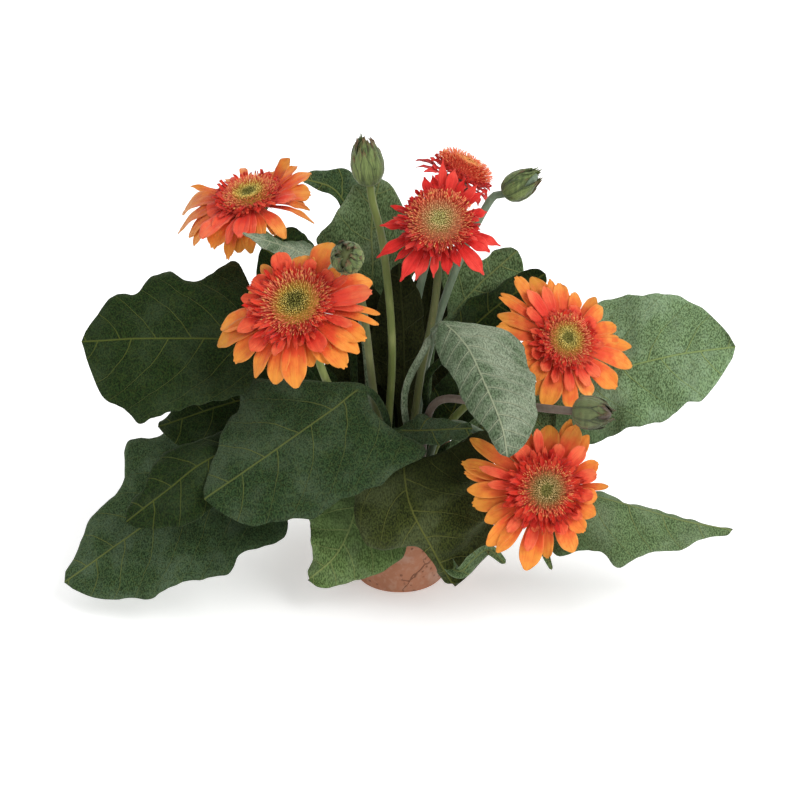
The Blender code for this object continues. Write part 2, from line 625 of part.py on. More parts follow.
    roots.append(leaf(
        "leaf_inner_dark", "leaf_dark", base=1, heart=0.1, bend=(0, 0, 0, 0),
        path=((4, 40), (6, 52, 114), (13, 68, 148), (22, 78, 199), (27, 81, 240)),
        face=((0.0, -0.9, 0.45), (0.0, -0.9, 0.45)),
        left=(24, 28, 27, 24, 20, 17, 14, 11, 8, 3),
        right=(26, 36, 38, 38, 36, 32, 26, 19, 11, 4)))
    roots.append(leaf(
        "leaf_inner_green", "leaf_mid", base=1, heart=0.1, bend=(0, 0, 0, 0),
        path=((26, 8), (33, 10, 116), (41, 12, 136), (48, 14, 156), (56, 17, 176)),
        face=((0.0, -0.9, 0.45), (0.0, -0.9, 0.45)),
        left=(10, 15, 19, 20, 19, 17, 14, 11, 7, 3),
        right=(10, 15, 19, 20, 19, 17, 14, 11, 7, 3)))
    roots.append(leaf(
        "leaf_inner_front", "leaf_mid", base=2, heart=0.2, bend=(0, 0, 0, 0),
        path=((4, -14), (-3, -28, 134), (-1, -34, 141), (18, -42, 146), (53, -52, 153)),
        face=((0.1, -0.5, 0.85), (0.1, -0.5, 0.85)),
        left=(8, 12, 13, 12, 11, 9, 8, 7, 5, 3),
        right=(9, 13, 14, 14, 13, 12, 11, 10, 8, 3)))
    roots.append(leaf(
        "leaf_back_left", "leaf_mid", base=2, heart=0.2, bend=(0, -10, 0, -10),
        path=((-26, 30), (-50, 46, 142), (-90, 62, 158), (-135, 74, 150), (-180, 80, 128)),
        face=((-0.2, 0.4, 0.9), (-0.2, 0.4, 0.9)),
        left=(34, 46, 50, 51, 49, 45, 38, 29, 18, 5),
        right=(34, 46, 50, 51, 49, 45, 38, 29, 18, 5)))
    roots.append(leaf(
        "leaf_back_right", "leaf_dark", base=2, heart=0.2, bend=(0, -10, 0, -10),
        path=((27, 31), (52, 46, 136), (90, 62, 150), (135, 72, 142), (185, 78, 120)),
        face=((0.2, 0.4, 0.9), (0.2, 0.4, 0.9)),
        left=(34, 46, 50, 51, 49, 45, 38, 29, 18, 5),
        right=(34, 46, 50, 51, 49, 45, 38, 29, 18, 5)))
    roots.append(leaf(
        "leaf_back_low_left", "leaf_dark", base=2, heart=0.2, bend=(0, -12, 0, -12),
        path=((-14, 37), (-22, 58, 116), (-42, 74, 110), (-66, 88, 84), (-88, 98, 50)),
        face=((-0.3, 0.55, 0.78), (-0.3, 0.55, 0.78)),
        left=(28, 39, 43, 44, 42, 38, 32, 25, 15, 5),
        right=(28, 39, 43, 44, 42, 38, 32, 25, 15, 5)))
    roots.append(leaf(
        "leaf_back_low_right", "leaf_mid", base=2, heart=0.2, bend=(0, -12, 0, -12),
        path=((14, 37), (24, 58, 114), (44, 74, 106), (68, 88, 80), (92, 98, 46)),
        face=((0.3, 0.55, 0.78), (0.3, 0.55, 0.78)),
        left=(28, 39, 43, 44, 42, 38, 32, 25, 15, 5),
        right=(28, 39, 43, 44, 42, 38, 32, 25, 15, 5)))
    return roots


def grow_blooms():
    """Four orange blooms, two red ones and four buds, and their roots."""
    orange = ("petal_orange", "petal_coral", "disc_gold")
    red = ("petal_red", "petal_red", "disc_red")
    return [
        bloom(1, (-110, 57, 284), (-0.21, -0.17, 0.96), 52, 24,
              rays=(16, 10), colours=orange, droop=0.3, sag=0.25, lean=(-0.12, -0.13),
              path=((-28, 22), (-38, 50, 172), (-68, 70, 222))),
        bloom(2, (-72, -56, 253), (-0.23, -0.59, 0.77), 59, 29,
              rays=(16, 10), colours=orange, droop=0.2, sag=0.15,
              lean=(0.03, -0.17), missing=((2,), (1,)),
              path=((-16, -10), (-25, -12, 138), (-52, -22, 172))),
        bloom(3, (29, 2, 291), (-0.04, -0.64, 0.76), 46, 25,
              rays=(14, 10), colours=red, droop=0.15, sag=0.1, lean=(-0.04, -0.04),
              path=((8, 4), (15, 10, 161), (25, 12, 218))),
        bloom(4, (43, 77, 294), (0.47, 0.11, 0.87), 42, 21,
              rays=(14, 10), colours=red, droop=0.55, sag=0.1, lean=(0.05, 0.0),
              path=((2, 22), (6, 34, 154), (14, 48, 214))),
        bloom(5, (119, -15, 205), (0.34, -0.68, 0.65), 53, 25,
              rays=(16, 10), colours=orange, droop=0.15, sag=0.1, lean=(-0.02, -0.05),
              path=((22, -8), (39, -8, 136), (81, -14, 180))),
        bloom(6, (105, -87, 122), (0.07, -0.88, 0.47), 55, 26,
              rays=(16, 10), colours=orange, droop=0.1, sag=0.1, lean=(-0.18, -0.07),
              path=((20, -16), (34, -24, 140), (66, -48, 142))),
        bud(1, (-24, 22, 333), (-0.12, 0.0, 0.99), (36, 12.5),
            path=((-10, 16), (-6, 18, 182), (-12, 22, 262))),
        bud(2, (89, 36, 309), (0.82, -0.1, 0.56), (30, 11.0),
            path=((12, 26), (20, 36, 162), (40, 28, 240))),
        bud(3, (-37, -66, 297), (-0.04, -0.85, 0.5), (27, 12.0),
            path=((-8, -6), (-19, -8, 154), (-27, -22, 236))),
        bud(4, (138, -80, 181), (0.98, -0.2, 0.0), (29, 12.5),
            path=((16, -30), (24, -29, 159), (60, -58, 178))),
    ]


def main():
    """Build the whole plant in its pot."""
    clear_scene()
    make_pot()
    roots = grow_leaves() + grow_blooms()
    make_soil(roots)


main()
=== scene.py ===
# %% [markdown]
# # Potted gerbera
#
# A terracotta pot holds a rosette of broad felted leaves, six double blooms and
# four closed buds. A frame of plain solids already gives every piece its place
# and size. This lesson dresses that frame: each solid is replaced by a fine
# surface grown by the same rules, and gets a material with the detail that a
# close look would show.
#
# Lengths in the tables are millimetres. +Z is up and the viewer stands on the
# -Y side.

# %% Load the frame
import math

import bpy
import numpy as np
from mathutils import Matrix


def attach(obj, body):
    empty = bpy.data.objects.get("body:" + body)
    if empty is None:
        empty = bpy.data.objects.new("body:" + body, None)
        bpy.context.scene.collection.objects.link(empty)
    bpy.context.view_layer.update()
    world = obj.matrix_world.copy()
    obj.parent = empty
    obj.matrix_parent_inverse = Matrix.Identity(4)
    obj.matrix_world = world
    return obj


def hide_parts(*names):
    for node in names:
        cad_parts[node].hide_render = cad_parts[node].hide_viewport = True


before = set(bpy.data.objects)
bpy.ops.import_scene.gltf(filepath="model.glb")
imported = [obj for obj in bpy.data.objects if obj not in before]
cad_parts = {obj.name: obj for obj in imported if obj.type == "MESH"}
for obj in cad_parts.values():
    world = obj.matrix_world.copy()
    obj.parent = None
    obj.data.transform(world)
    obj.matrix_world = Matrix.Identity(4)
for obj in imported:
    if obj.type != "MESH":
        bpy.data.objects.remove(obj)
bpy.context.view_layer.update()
MM = 0.001
UP = (0.0, 0.0, 1.0)
print("frame pieces:", len(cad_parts))

# %% [markdown]
# ## Camera
#
# A plant on a table is looked at from a little above. A long lens from nearly
# two metres keeps the near leaves from growing too large against the far ones.

# %% Camera
VIEW_HEIGHT = 0.149
VIEW_ELEVATION = math.radians(28.0)
VIEW_DISTANCE = 1.9

lens = bpy.data.cameras.new("camera")
lens.lens = 114.0
lens.sensor_width = 36.0
lens.clip_end = 20.0
camera = bpy.data.objects.new("camera", lens)
camera.location = (0.0, -VIEW_DISTANCE * math.cos(VIEW_ELEVATION),
                   VIEW_HEIGHT + VIEW_DISTANCE * math.sin(VIEW_ELEVATION))
camera.rotation_euler = (math.pi / 2 - VIEW_ELEVATION, 0.0, 0.0)
bpy.context.scene.collection.objects.link(camera)
bpy.context.scene.camera = camera
print("camera height:", round(camera.location.z, 3), "m")

# %% [markdown]
# ## Light
#
# A wide sun from the right and front is the main light: its rays are parallel,
# so the table is evenly white, and its great width keeps the shadows soft. A pale
# sky fills them, and a lamp behind gives the petals their bright rims. The
# standard view keeps the strong orange and red as they are.

# %% Light
SUN_STRENGTH = 1.65
SKY_STRENGTH = 0.70
bpy.context.scene.view_settings.view_transform = "Standard"


def add_lamp(name, kind, place, target, energy, **settings):
    """A lamp at place, turned so that it looks at target."""
    data = bpy.data.lights.new(name, kind)
    data.energy = energy
    for label, value in settings.items():
        setattr(data, label, value)
    lamp = bpy.data.objects.new(name, data)
    lamp.location = place
    away = np.array(place) - np.array(target)
    flat = math.hypot(away[0], away[1])
    lamp.rotation_euler = (math.atan2(flat, away[2]), 0.0, math.atan2(away[0], -away[1]))
    bpy.context.scene.collection.objects.link(lamp)
    return lamp


add_lamp("sun", "SUN", (1.3, -1.0, 1.7), (0.0, 0.0, 0.15), SUN_STRENGTH, angle=math.radians(34.0))
add_lamp("rim_lamp", "AREA", (0.2, 1.5, 1.5), (0.0, 0.0, 0.2), 7.0, shape="DISK", size=1.2)

world = bpy.data.worlds.new("pale_sky")
bpy.context.scene.world = world
world.use_nodes = True
world.node_tree.nodes["Background"].inputs["Color"].default_value = (1.0, 1.0, 1.0, 1.0)
world.node_tree.nodes["Background"].inputs["Strength"].default_value = SKY_STRENGTH

# %% [markdown]
# ## Growing shapes
#
# Leaves, stems, petals and even the fine florets are all one kind of surface:
# rings of points carried along a line. With a ring for each step along the line
# and a column for each step round it, a whole leaf is a single array, and numpy
# can bend all of it at once.

# %% Lines
def smooth_step(start, end, value):
    """Rise from 0 to 1 between start and end: 3 t squared less 2 t cubed."""
    t = np.clip((value - start) / (end - start), 0.0, 1.0)
    return t * t * (3.0 - 2.0 * t)


def unit(vectors):
    """Divide each vector by its length."""
    vectors = np.asarray(vectors, float)
    return vectors / np.linalg.norm(vectors, axis=-1, keepdims=True)


LINE_STEPS = 60


def growth_line(knots):
    """Cubic Hermite line through the knots, which leaves the first one straight up.

    The slope at a knot is half the step from the knot before it to the one after.
    """
    knots = np.asarray(knots, float)
    slopes = np.empty_like(knots)
    slopes[1:-1] = (knots[2:] - knots[:-2]) / 2
    slopes[-1] = knots[-1] - knots[-2]
    slopes[0] = (0.0, 0.0, np.linalg.norm(knots[1] - knots[0]))
    t = np.linspace(0.0, 1.0, LINE_STEPS, endpoint=False)[:, None]
    spans = [(2 * t**3 - 3 * t**2 + 1) * knots[i] + (t**3 - 2 * t**2 + t) * slopes[i]
             + (3 * t**2 - 2 * t**3) * knots[i + 1] + (t**3 - t**2) * slopes[i + 1]
             for i in range(len(knots) - 1)]
    return np.concatenate(spans + [knots[-1:]])


def along(line, fractions):
    """Points of a line at the given fractions of its length."""
    steps = np.linalg.norm(np.diff(line, axis=0), axis=1)
    length = np.concatenate([[0.0], np.cumsum(steps)])
    wanted = np.clip(fractions, 0.0, 1.0) * length[-1]
    return np.stack([np.interp(wanted, length, line[:, k]) for k in range(3)], axis=-1)


def directions(line, fractions):
    """Unit directions of a line, from the chord a hundredth before to a hundredth after."""
    fractions = np.asarray(fractions)
    return unit(along(line, fractions + 0.01) - along(line, fractions - 0.01))


def through(values, u):
    """Catmull-Rom curve through equally spaced values, read at u from 0 to 1."""
    values = np.asarray(values, float)
    last = len(values) - 1
    place = np.clip(u, 0.0, 1.0) * last
    i = np.minimum(place.astype(int), last - 1)
    t = place - i
    ends = np.concatenate([[2 * values[0] - values[1]], values, [2 * values[-1] - values[-2]]])
    a, b, c, d = ends[i], ends[i + 1], ends[i + 2], ends[i + 3]
    return 0.5 * (2 * b + (c - a) * t + (2 * a - 5 * b + 4 * c - d) * t**2 + (3 * b - a - 3 * c + d) * t**3)


# %% From arrays to a mesh
def add_piece(name, points, quads, finish, node, values, flat=None):
    """Make a smooth mesh from arrays in millimetres and let it stand for a frame node.

    points is (n, 3) and quads (q, 4). values holds a number for each point under
    each name. flat, if given, is (n, 2) and becomes the UV map.
    """
    mesh = bpy.data.meshes.new(name)
    mesh.vertices.add(len(points))
    mesh.vertices.foreach_set("co", (points * MM).astype(np.float32).ravel())
    corners = quads.ravel().astype(np.int32)
    mesh.loops.add(len(corners))
    mesh.loops.foreach_set("vertex_index", corners)
    mesh.polygons.add(len(quads))
    mesh.polygons.foreach_set("loop_start", np.arange(0, len(corners), 4, dtype=np.int32))
    if flat is not None:
        mesh.uv_layers.new(name="UVMap").data.foreach_set("uv", flat[corners].astype(np.float32).ravel())
    for label, numbers in values.items():
        mesh.attributes.new(label, "FLOAT", "POINT").data.foreach_set("value", numbers.astype(np.float32))
    mesh.update(calc_edges=True)
    mesh.validate()
    mesh.shade_smooth()
    mesh.materials.append(finish)
    piece = bpy.data.objects.new(name, mesh)
    bpy.context.scene.collection.objects.link(piece)
    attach(piece, "root")
    if node:
        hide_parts(node)
    return piece


def tubes(rings, **values):
    """Close rings into capped tubes: rings is (tubes, rings, columns, 3).

    Each quad joins two columns of two neighbouring rings. The first and the last
    ring are closed by a row of quads from column k and its neighbour across to
    the columns at the same distance from the end of the ring. Every value is
    spread over (tubes, rings, columns).
    """
    count, rows, columns = rings.shape[:3]
    i = np.arange(columns)
    j = (i + 1) % columns
    near = np.arange(rows - 1)[:, None] * columns
    sides = np.stack([near + i, near + j, near + columns + j, near + columns + i], axis=-1).reshape(-1, 4)
    k = np.arange(columns // 2 - 1)
    first = np.stack([k + 1, k, columns - 1 - k, columns - 2 - k], axis=-1)
    last = first[:, ::-1] + (rows - 1) * columns
    shift = np.arange(count)[:, None, None] * rows * columns
    quads = (np.concatenate([sides, first, last]) + shift).reshape(-1, 4)
    shared = {label: np.broadcast_to(numbers, (count, rows, columns)).reshape(-1).astype(float)
              for label, numbers in values.items()}
    return rings.reshape(-1, 3), quads, shared


def joined(*parts):
    """Put several results of tubes into one, moving each part's numbering up."""
    points, quads, start = [], [], 0
    for part in parts:
        points.append(part[0])
        quads.append(part[1] + start)
        start += len(part[0])
    values = {label: np.concatenate([part[2][label] for part in parts]) for label in parts[0][2]}
    return np.concatenate(points), np.concatenate(quads), values


# %% [markdown]
# ## Building materials
#
# Every finish here starts from the same few steps: some noise, some arithmetic, a
# blend of colours and a bump. What comes out of a node is wrapped, so that it adds
# and multiplies like a number, which keeps each finish short enough to read.

# %% Helpers for materials
class Flow:
    """What comes out of a node. It adds, subtracts, multiplies and divides like a number."""

    def __init__(self, tree, socket):
        self.tree, self.socket = tree, socket

    def __add__(self, other):
        return step("ADD", self, other)

    def __sub__(self, other):
        return step("SUBTRACT", self, other)

    def __rsub__(self, other):
        return step("SUBTRACT", other, self)

    def __mul__(self, other):
        return step("MULTIPLY", self, other)

    def __truediv__(self, other):
        return step("DIVIDE", self, other)

    def __abs__(self):
        return step("ABSOLUTE", self)

    __radd__, __rmul__ = __add__, __mul__


def put(tree, kind, output=0, settings=None, **inputs):
    """Add a node, plug numbers, colours or flows into it, and return one output."""
    node = tree.nodes.new("ShaderNode" + kind)
    for label, value in (settings or {}).items():
        setattr(node, label, value)
    for label, value in inputs.items():
        socket = node.inputs[int(label[1:]) if label[1:].isdigit() else label.replace("_", " ")]
        if isinstance(value, Flow):
            tree.links.new(value.socket, socket)
        else:
            socket.default_value = value
    return Flow(tree, node.outputs[output])


def step(operation, *values):
    """One step of arithmetic on flows and numbers."""
    tree = next(value.tree for value in values if isinstance(value, Flow))
    inputs = {f"i{k}": value for k, value in enumerate(values)}
    return put(tree, "Math", settings={"operation": operation}, **inputs)


def ramp(factor, low, high):
    """0 below low, 1 above high and a smooth rise between."""
    settings = {"interpolation_type": "SMOOTHSTEP"}
    return put(factor.tree, "MapRange", settings=settings, Value=factor, From_Min=low, From_Max=high)


def blend(factor, first, second):
    """A colour part of the way from first to second; a plain colour has three numbers."""
    first, second = ((*colour, 1.0) if isinstance(colour, tuple) else colour for colour in (first, second))
    return put(factor.tree, "Mix", 2, {"data_type": "RGBA"}, i0=factor, i6=first, i7=second)


def darker(colour, share):
    """A colour times a share."""
    return tuple(share * part for part in colour)


def values_of(tree, *labels):
    """The numbers stored on the mesh under each label."""
    return (put(tree, "Attribute", 2, {"attribute_name": label, "attribute_type": "GEOMETRY"}) for label in labels)


def noise(place, scale, detail=2.0):
    """Noise from 0 to 1 with cells of about one part in scale of a metre."""
    return put(place.tree, "TexNoise", Vector=place, Scale=scale, Detail=detail)


def new_finish(name, roughness, **sockets):
    """A Principled material, its tree and the place on the object.

    A socket's name is given with underscores for its spaces.
    """
    material = bpy.data.materials.new(name)
    material.use_nodes = True
    inputs = material.node_tree.nodes["Principled BSDF"].inputs
    for label, value in {"Roughness": roughness, **sockets}.items():
        inputs[label.replace("_", " ")].default_value = value
    return material, material.node_tree, put(material.node_tree, "TexCoord", 3)


def finished(material, colour, height, depth, strength):
    """Plug in the colour, and let a height from 0 to 1 tilt the light over depth metres."""
    tree = material.node_tree
    inputs = tree.nodes["Principled BSDF"].inputs
    bump = put(tree, "Bump", Height=height, Distance=depth, Strength=strength)
    tree.links.new(colour.socket, inputs["Base Color"])
    tree.links.new(bump.socket, inputs["Normal"])
    return material


print("helpers ready")

# %% [markdown]
# ## Felted leaf
#
# The leaves are thick and velvety. Up close they are a felt of short pale hairs
# over green, with thin yellow-green veins: one midrib, and side veins that leave
# it nearly square and bend towards the tip. The veins are lines in the leaf's own
# flat coordinates, so they are computed from the distance along the midrib and
# the distance from it, which the mesh carries as its UV map.

# %% Vein rule
FLAT_SCALE = 200.0
VEIN_SLOPE = 0.42
VEIN_BEND = 0.012
VEIN_HALF = 0.50
LEFT_LEAD = 0.35


def vein_phase(s, d, spacing):
    """Count of side veins passed: s less slope times d less bend times d squared, over spacing.

    s is millimetres along the midrib and d millimetres from it. The veins of the
    left half start LEFT_LEAD of a spacing nearer the stalk than those of the right.
    """
    return (s - VEIN_SLOPE * np.abs(d) - VEIN_BEND * d * d) / spacing + np.where(d < 0, LEFT_LEAD, 0.0)


# %% Felt finish
def felt(name, deep, light, haze, vein, under, spacing, raised=0.0009, ridge=0.0):
    """Velvet: speckled green under patches of pale hair, and vein lines by the vein rule.

    ridge above 0 lays pale bands along the raised veins: a painted highlight on those ridges, in the colour of the pale
    hair.
    """
    material, tree, place = new_finish(name, 0.9, Sheen_Weight=0.08, Sheen_Roughness=0.5,
                                       Sheen_Tint=(0.75, 0.9, 0.6, 1.0), Specular_IOR_Level=0.12)
    blade, edge, dim, pale = values_of(tree, "blade", "edge", "dim", "pale")
    flat = put(tree, "UVMap", settings={"uv_map": "UVMap"})
    s = put(tree, "SeparateXYZ", 0, Vector=flat) * FLAT_SCALE
    signed = (put(tree, "SeparateXYZ", 1, Vector=flat) - 0.5) * FLAT_SCALE
    d = abs(signed)
    wander = (noise(place, 26.0, 3.0) - 0.5) * 7.0
    left = step("LESS_THAN", signed, 0.0) * (LEFT_LEAD * spacing)
    passed = s - d * (VEIN_SLOPE + d * VEIN_BEND) + left + wander
    beside = step("PINGPONG", passed, spacing / 2)
    width = step("MAXIMUM", VEIN_HALF - d * 0.006, 0.4 * VEIN_HALF)
    side_vein = 1.0 - ramp(beside / width, 0.4, 1.7)
    midrib = 1.0 - ramp(abs(signed + wander * 0.2), 0.3, 1.05)
    fade = ramp(noise(place, 55.0) + d * -0.0015, 0.08, 0.50)
    # the veins are fainter under the painted shade
    veins = step("MAXIMUM", side_vein * fade, midrib) * ramp(blade, 0.3, 1.0) * (1.0 - dim * 0.6)
    hair = put(tree, "Mapping", Vector=place, Rotation=(0.5, 0.4, 0.9), Scale=(1.0, 1.0, 0.45))
    fibre = noise(hair, 1050.0, 3.0)
    speckle = ramp(fibre, 0.36, 0.64)
    net = put(tree, "TexVoronoi", 0, {"feature": "DISTANCE_TO_EDGE"}, Vector=place, Scale=170.0)
    net_line = 1.0 - ramp(net, 0.0, 0.09)
    green = blend(speckle, darker(deep, 0.72), darker(light, 1.22))
    # painted highlight: pale bands beside the raised veins, as strong as ridge
    ridge_highlight = 1.0 - ramp(beside, 0.0, 0.34 * spacing)
    bare = ramp(noise(place, 36.0, 5.0), 0.42, 0.70) + (ridge_highlight * ridge + ramp(edge, 0.86, 1.0) * 0.35)
    green = blend(step("MINIMUM", bare, 1.0) * (0.35 + speckle * 0.5), green, haze)
    green = blend(net_line * 0.13, green, vein)
    # painted shade: the felt turns towards a darker deep green where the leaf lies in the shade of others
    green = blend(dim * 0.75, green, blend(speckle, darker(deep, 0.6), deep))
    green = blend(pale * 0.85, green, blend(speckle, darker(under, 0.62), under))
    height = fibre * 0.5 + (veins + net_line * -0.2)
    return finished(material, blend(veins * 0.75, green, vein), height, raised, 0.8)


# Name: deep, light, haze, vein and underside colours, vein spacing in mm, bump in m, painted ridge highlight
FELTS = {
    # shade is painted shade: a near-black copy of the felt for the leaves deep in the crown
    "shade": ((0.006, 0.008, 0.001), (0.015, 0.019, 0.003), (0.028, 0.034, 0.010), (0.03, 0.036, 0.008),
              (0.04, 0.05, 0.02), 26.0),
    "dark": ((0.005, 0.013, 0.002), (0.014, 0.031, 0.006), (0.030, 0.049, 0.020), (0.085, 0.105, 0.018),
             (0.08, 0.11, 0.06), 26.0),
    "deep": ((0.014, 0.032, 0.009), (0.044, 0.080, 0.030), (0.085, 0.127, 0.074), (0.15, 0.18, 0.045),
             (0.12, 0.165, 0.10), 27.0),
    "moss": ((0.009, 0.022, 0.006), (0.027, 0.054, 0.018), (0.062, 0.092, 0.050), (0.115, 0.14, 0.035),
             (0.10, 0.14, 0.08), 31.0),
    "olive": ((0.011, 0.016, 0.002), (0.033, 0.043, 0.008), (0.072, 0.088, 0.036), (0.11, 0.12, 0.025),
              (0.14, 0.18, 0.11), 24.0),
    "mid": ((0.055, 0.092, 0.034), (0.120, 0.185, 0.078), (0.20, 0.27, 0.155), (0.20, 0.24, 0.08),
            (0.18, 0.24, 0.15), 28.0),
    "grey": ((0.092, 0.155, 0.064), (0.190, 0.290, 0.140), (0.29, 0.40, 0.25), (0.27, 0.36, 0.12),
             (0.24, 0.30, 0.20), 30.0),
    "light": ((0.055, 0.095, 0.024), (0.130, 0.205, 0.066), (0.18, 0.24, 0.12), (0.25, 0.30, 0.10),
              (0.18, 0.23, 0.13), 19.0),
    "pale": ((0.060, 0.095, 0.046), (0.125, 0.175, 0.100), (0.34, 0.39, 0.28), (0.38, 0.42, 0.27),
             (0.25, 0.30, 0.21), 11.0, 0.0020, 0.50),
}
felts = {name: felt("felt_" + name, *row) for name, row in FELTS.items()}
print("felts:", ", ".join(felts))

# %% [markdown]
# ## Leaf shape
#
# A leaf is a round stalk that flattens into a blade. Its two lists are the
# half-widths at equal steps along the blade. Each half folds and curls about the
# midrib, the edge ripples, and the felt swells a little between the veins, which
# is what makes the soft quilted look in slanting light.

# %% Leaf shape
SOIL_LEVEL = 88.0
ROOT_CLEAR = 2.0
ROOT_DEPTH = 8.5
ROOT_GAP = 0.3
STALK_RADIUS = 2.3
STALK_STEPS = 14
BLADE_STEPS = 84
HALF_COLUMNS = 13


def sine(turns):
    """Sine of a number of full turns."""
    return np.sin(2 * math.pi * turns)


def root_line(path, *more):
    """Smooth line from just above the soil through the rest of a path."""
    return growth_line([(*path[0], SOIL_LEVEL + ROOT_CLEAR), *path[1:], *more])


def foot_of(path):
    """The lowest point of a stalk, just above the bottom of its hole in the soil."""
    return np.array([[*path[0], SOIL_LEVEL - ROOT_DEPTH + ROOT_GAP]])


def leaf_line(path, base, faces):
    """For each ring of a leaf u, its middle and its three directions, and the blade's length.

    u is 0 up the stalk and runs from 0 to 1 along the blade. The normal turns from
    the first face to the last and stays square to the line.
    """
    line = root_line(path)
    stalk, blade = line[:LINE_STEPS * base + 1], line[LINE_STEPS * base:]
    stalk_at = np.linspace(0.0, 1.0, STALK_STEPS, endpoint=False)
    blade_at = np.linspace(0.0, 1.0, BLADE_STEPS)
    middle = np.concatenate([foot_of(path), along(stalk, stalk_at), along(blade, blade_at)])
    tangent = np.concatenate([[UP], directions(stalk, stalk_at), directions(blade, blade_at)])
    tangent[1] = UP
    u = np.concatenate([np.zeros(STALK_STEPS + 1), blade_at])[:, None]
    towards = (1 - u) * np.array(faces[0]) + u * np.array(faces[1])
    normal = unit(towards - (towards * tangent).sum(1, keepdims=True) * tangent)
    length = np.linalg.norm(np.diff(blade, axis=0), axis=1).sum()
    return u, middle[:, None], tangent[:, None], normal[:, None], np.cross(tangent, normal)[:, None], length


def quilting(s, d, spacing, swell, phase):
    """How far the felt swells at s along the midrib and d from it.

    From one vein to the next a sine goes through half a turn. The swelling is
    swell times the size of that sine to the power 0.7, less 0.6, and swell times
    two products of crossed sines, one slow and one quick.
    """
    between = swell * (np.abs(np.sin(math.pi * vein_phase(s, d, spacing))) ** 0.7 - 0.6)
    slow = sine(s / 53.0 + d / 97.0 + phase[0]) * sine(d / 61.0 - s / 130.0 + phase[1])
    quick = sine(s / 21.0 - d / 33.0 + phase[2]) * sine(d / 24.0 + s / 57.0 + phase[3])
    return between + swell * (1.3 * slow + 0.45 * quick)


def leaf_surface(path, base, faces, left, right, bend, heart, ripple, spacing, swell, frill, seed):
    """Rings of a leaf, its flat coordinates in millimetres and how far each point is blade.

    Across the blade v runs from -1 to 1. A point lies v times the half-width to
    the side of the midrib, turned by fold plus half of curl times the size of v.
    It leaves that half's curve by the ripple, v squared times the sine of three
    turns along the blade, and by the quilting. heart draws the edge near the
    stalk back.
    """
    u, middle, tangent, normal, side, length = leaf_line(path, base, faces)
    t = np.linspace(-1.0, 1.0, 2 * HALF_COLUMNS + 1)
    t = np.sign(t) * np.abs(t) ** 1.15
    column = np.concatenate([t, t[::-1]])[None, :]
    under = np.repeat([0.0, 1.0], len(t))[None, :]
    angle = np.radians(90.0 - 88.0 * column)
    is_left = column < 0
    is_blade = smooth_step(0.0, 0.09, u)
    v = (1 - is_blade) * np.cos(angle) + is_blade * column
    far = np.abs(v)
    widths = np.where(is_left, through([STALK_RADIUS, *left], u), through([STALK_RADIUS, *right], u))
    phase = np.random.default_rng(seed).uniform(0.0, 1.0, 6)
    edge = 0.6 * sine(9 * u + phase[0] + 0.3 * is_left) + 0.15 * sine(21 * u + phase[1] + 0.6 * is_left)
    widths = widths * (1 + frill * edge * is_blade)
    tip = np.sqrt(np.clip((1 - u) / 0.025, 0.0, 1.0))
    reach = far * np.maximum(widths, STALK_RADIUS * (1 - is_blade) + 0.5) * tip
    fold, curl = (np.where(is_left, bend[k], bend[k + 2]) for k in (0, 1))
    lean = is_blade * np.radians(fold + 0.5 * curl * far)
    slope = is_blade * np.radians(fold + curl * far) * np.sign(v)
    wave = ripple * v**2 * sine(3 * u + 0.35 * is_left) * smooth_step(0.0, 0.3, u)
    back = heart * v**2 * reach * (1 - u)**4 * is_blade
    d = np.sign(column) * reach
    s = u * length - back
    swelling = quilting(s, d, spacing, swell, phase[2:]) * is_blade * smooth_step(0.0, 9.0, np.abs(d))
    swelling = swelling * (1 - 0.5 * far**4)
    out = np.cos(slope)[..., None] * normal - np.sin(slope)[..., None] * side
    centre = (middle + (np.sign(v) * reach * np.cos(lean))[..., None] * side
              + (reach * np.sin(lean) + wave)[..., None] * normal - back[..., None] * tangent)
    thick = 0.42 * (1 - 0.55 * far**6) * np.maximum(tip, 0.25)
    half = (1 - is_blade) * STALK_RADIUS * np.abs(np.sin(angle)) + is_blade * thick
    groove = 0.5 * (1 - u) * np.exp(-(d / 1.3) ** 2) * is_blade
    rib = is_blade * (1.5 * (1 - u) * np.exp(-(d / 1.7) ** 2) + 0.15)
    lift = np.where(under > 0, swelling - half - rib, swelling + half - groove)
    return centre + lift[..., None] * out, s, d, is_blade, under, u, v


# painted shade for each leaf: (a, b, c), and the felt is darkened by a u plus b v plus c
PAINTED_SHADE = {
    "leaf_front_light": (-3.0, 0.0, 2.3), "leaf_right_high": (-2.6, 1.7, 0.1), "leaf_left_grey": (-2.2, 0.5, 0.9),
    "leaf_centre_pale": (-0.6, 0.7, 0.45), "leaf_right_low": (-3.0, 0.9, 0.6), "leaf_front_drape": (-2.4, -0.6, 1.1),
    "leaf_left_low": (-2.5, -0.7, 0.7), "leaf_back_centre": (-2.0, 0.0, 1.0), "leaf_right_back_grey": (-2.0, 0.0, 1.0),
    "leaf_left_pale_fold": (-1.0, 1.2, 0.3),
}


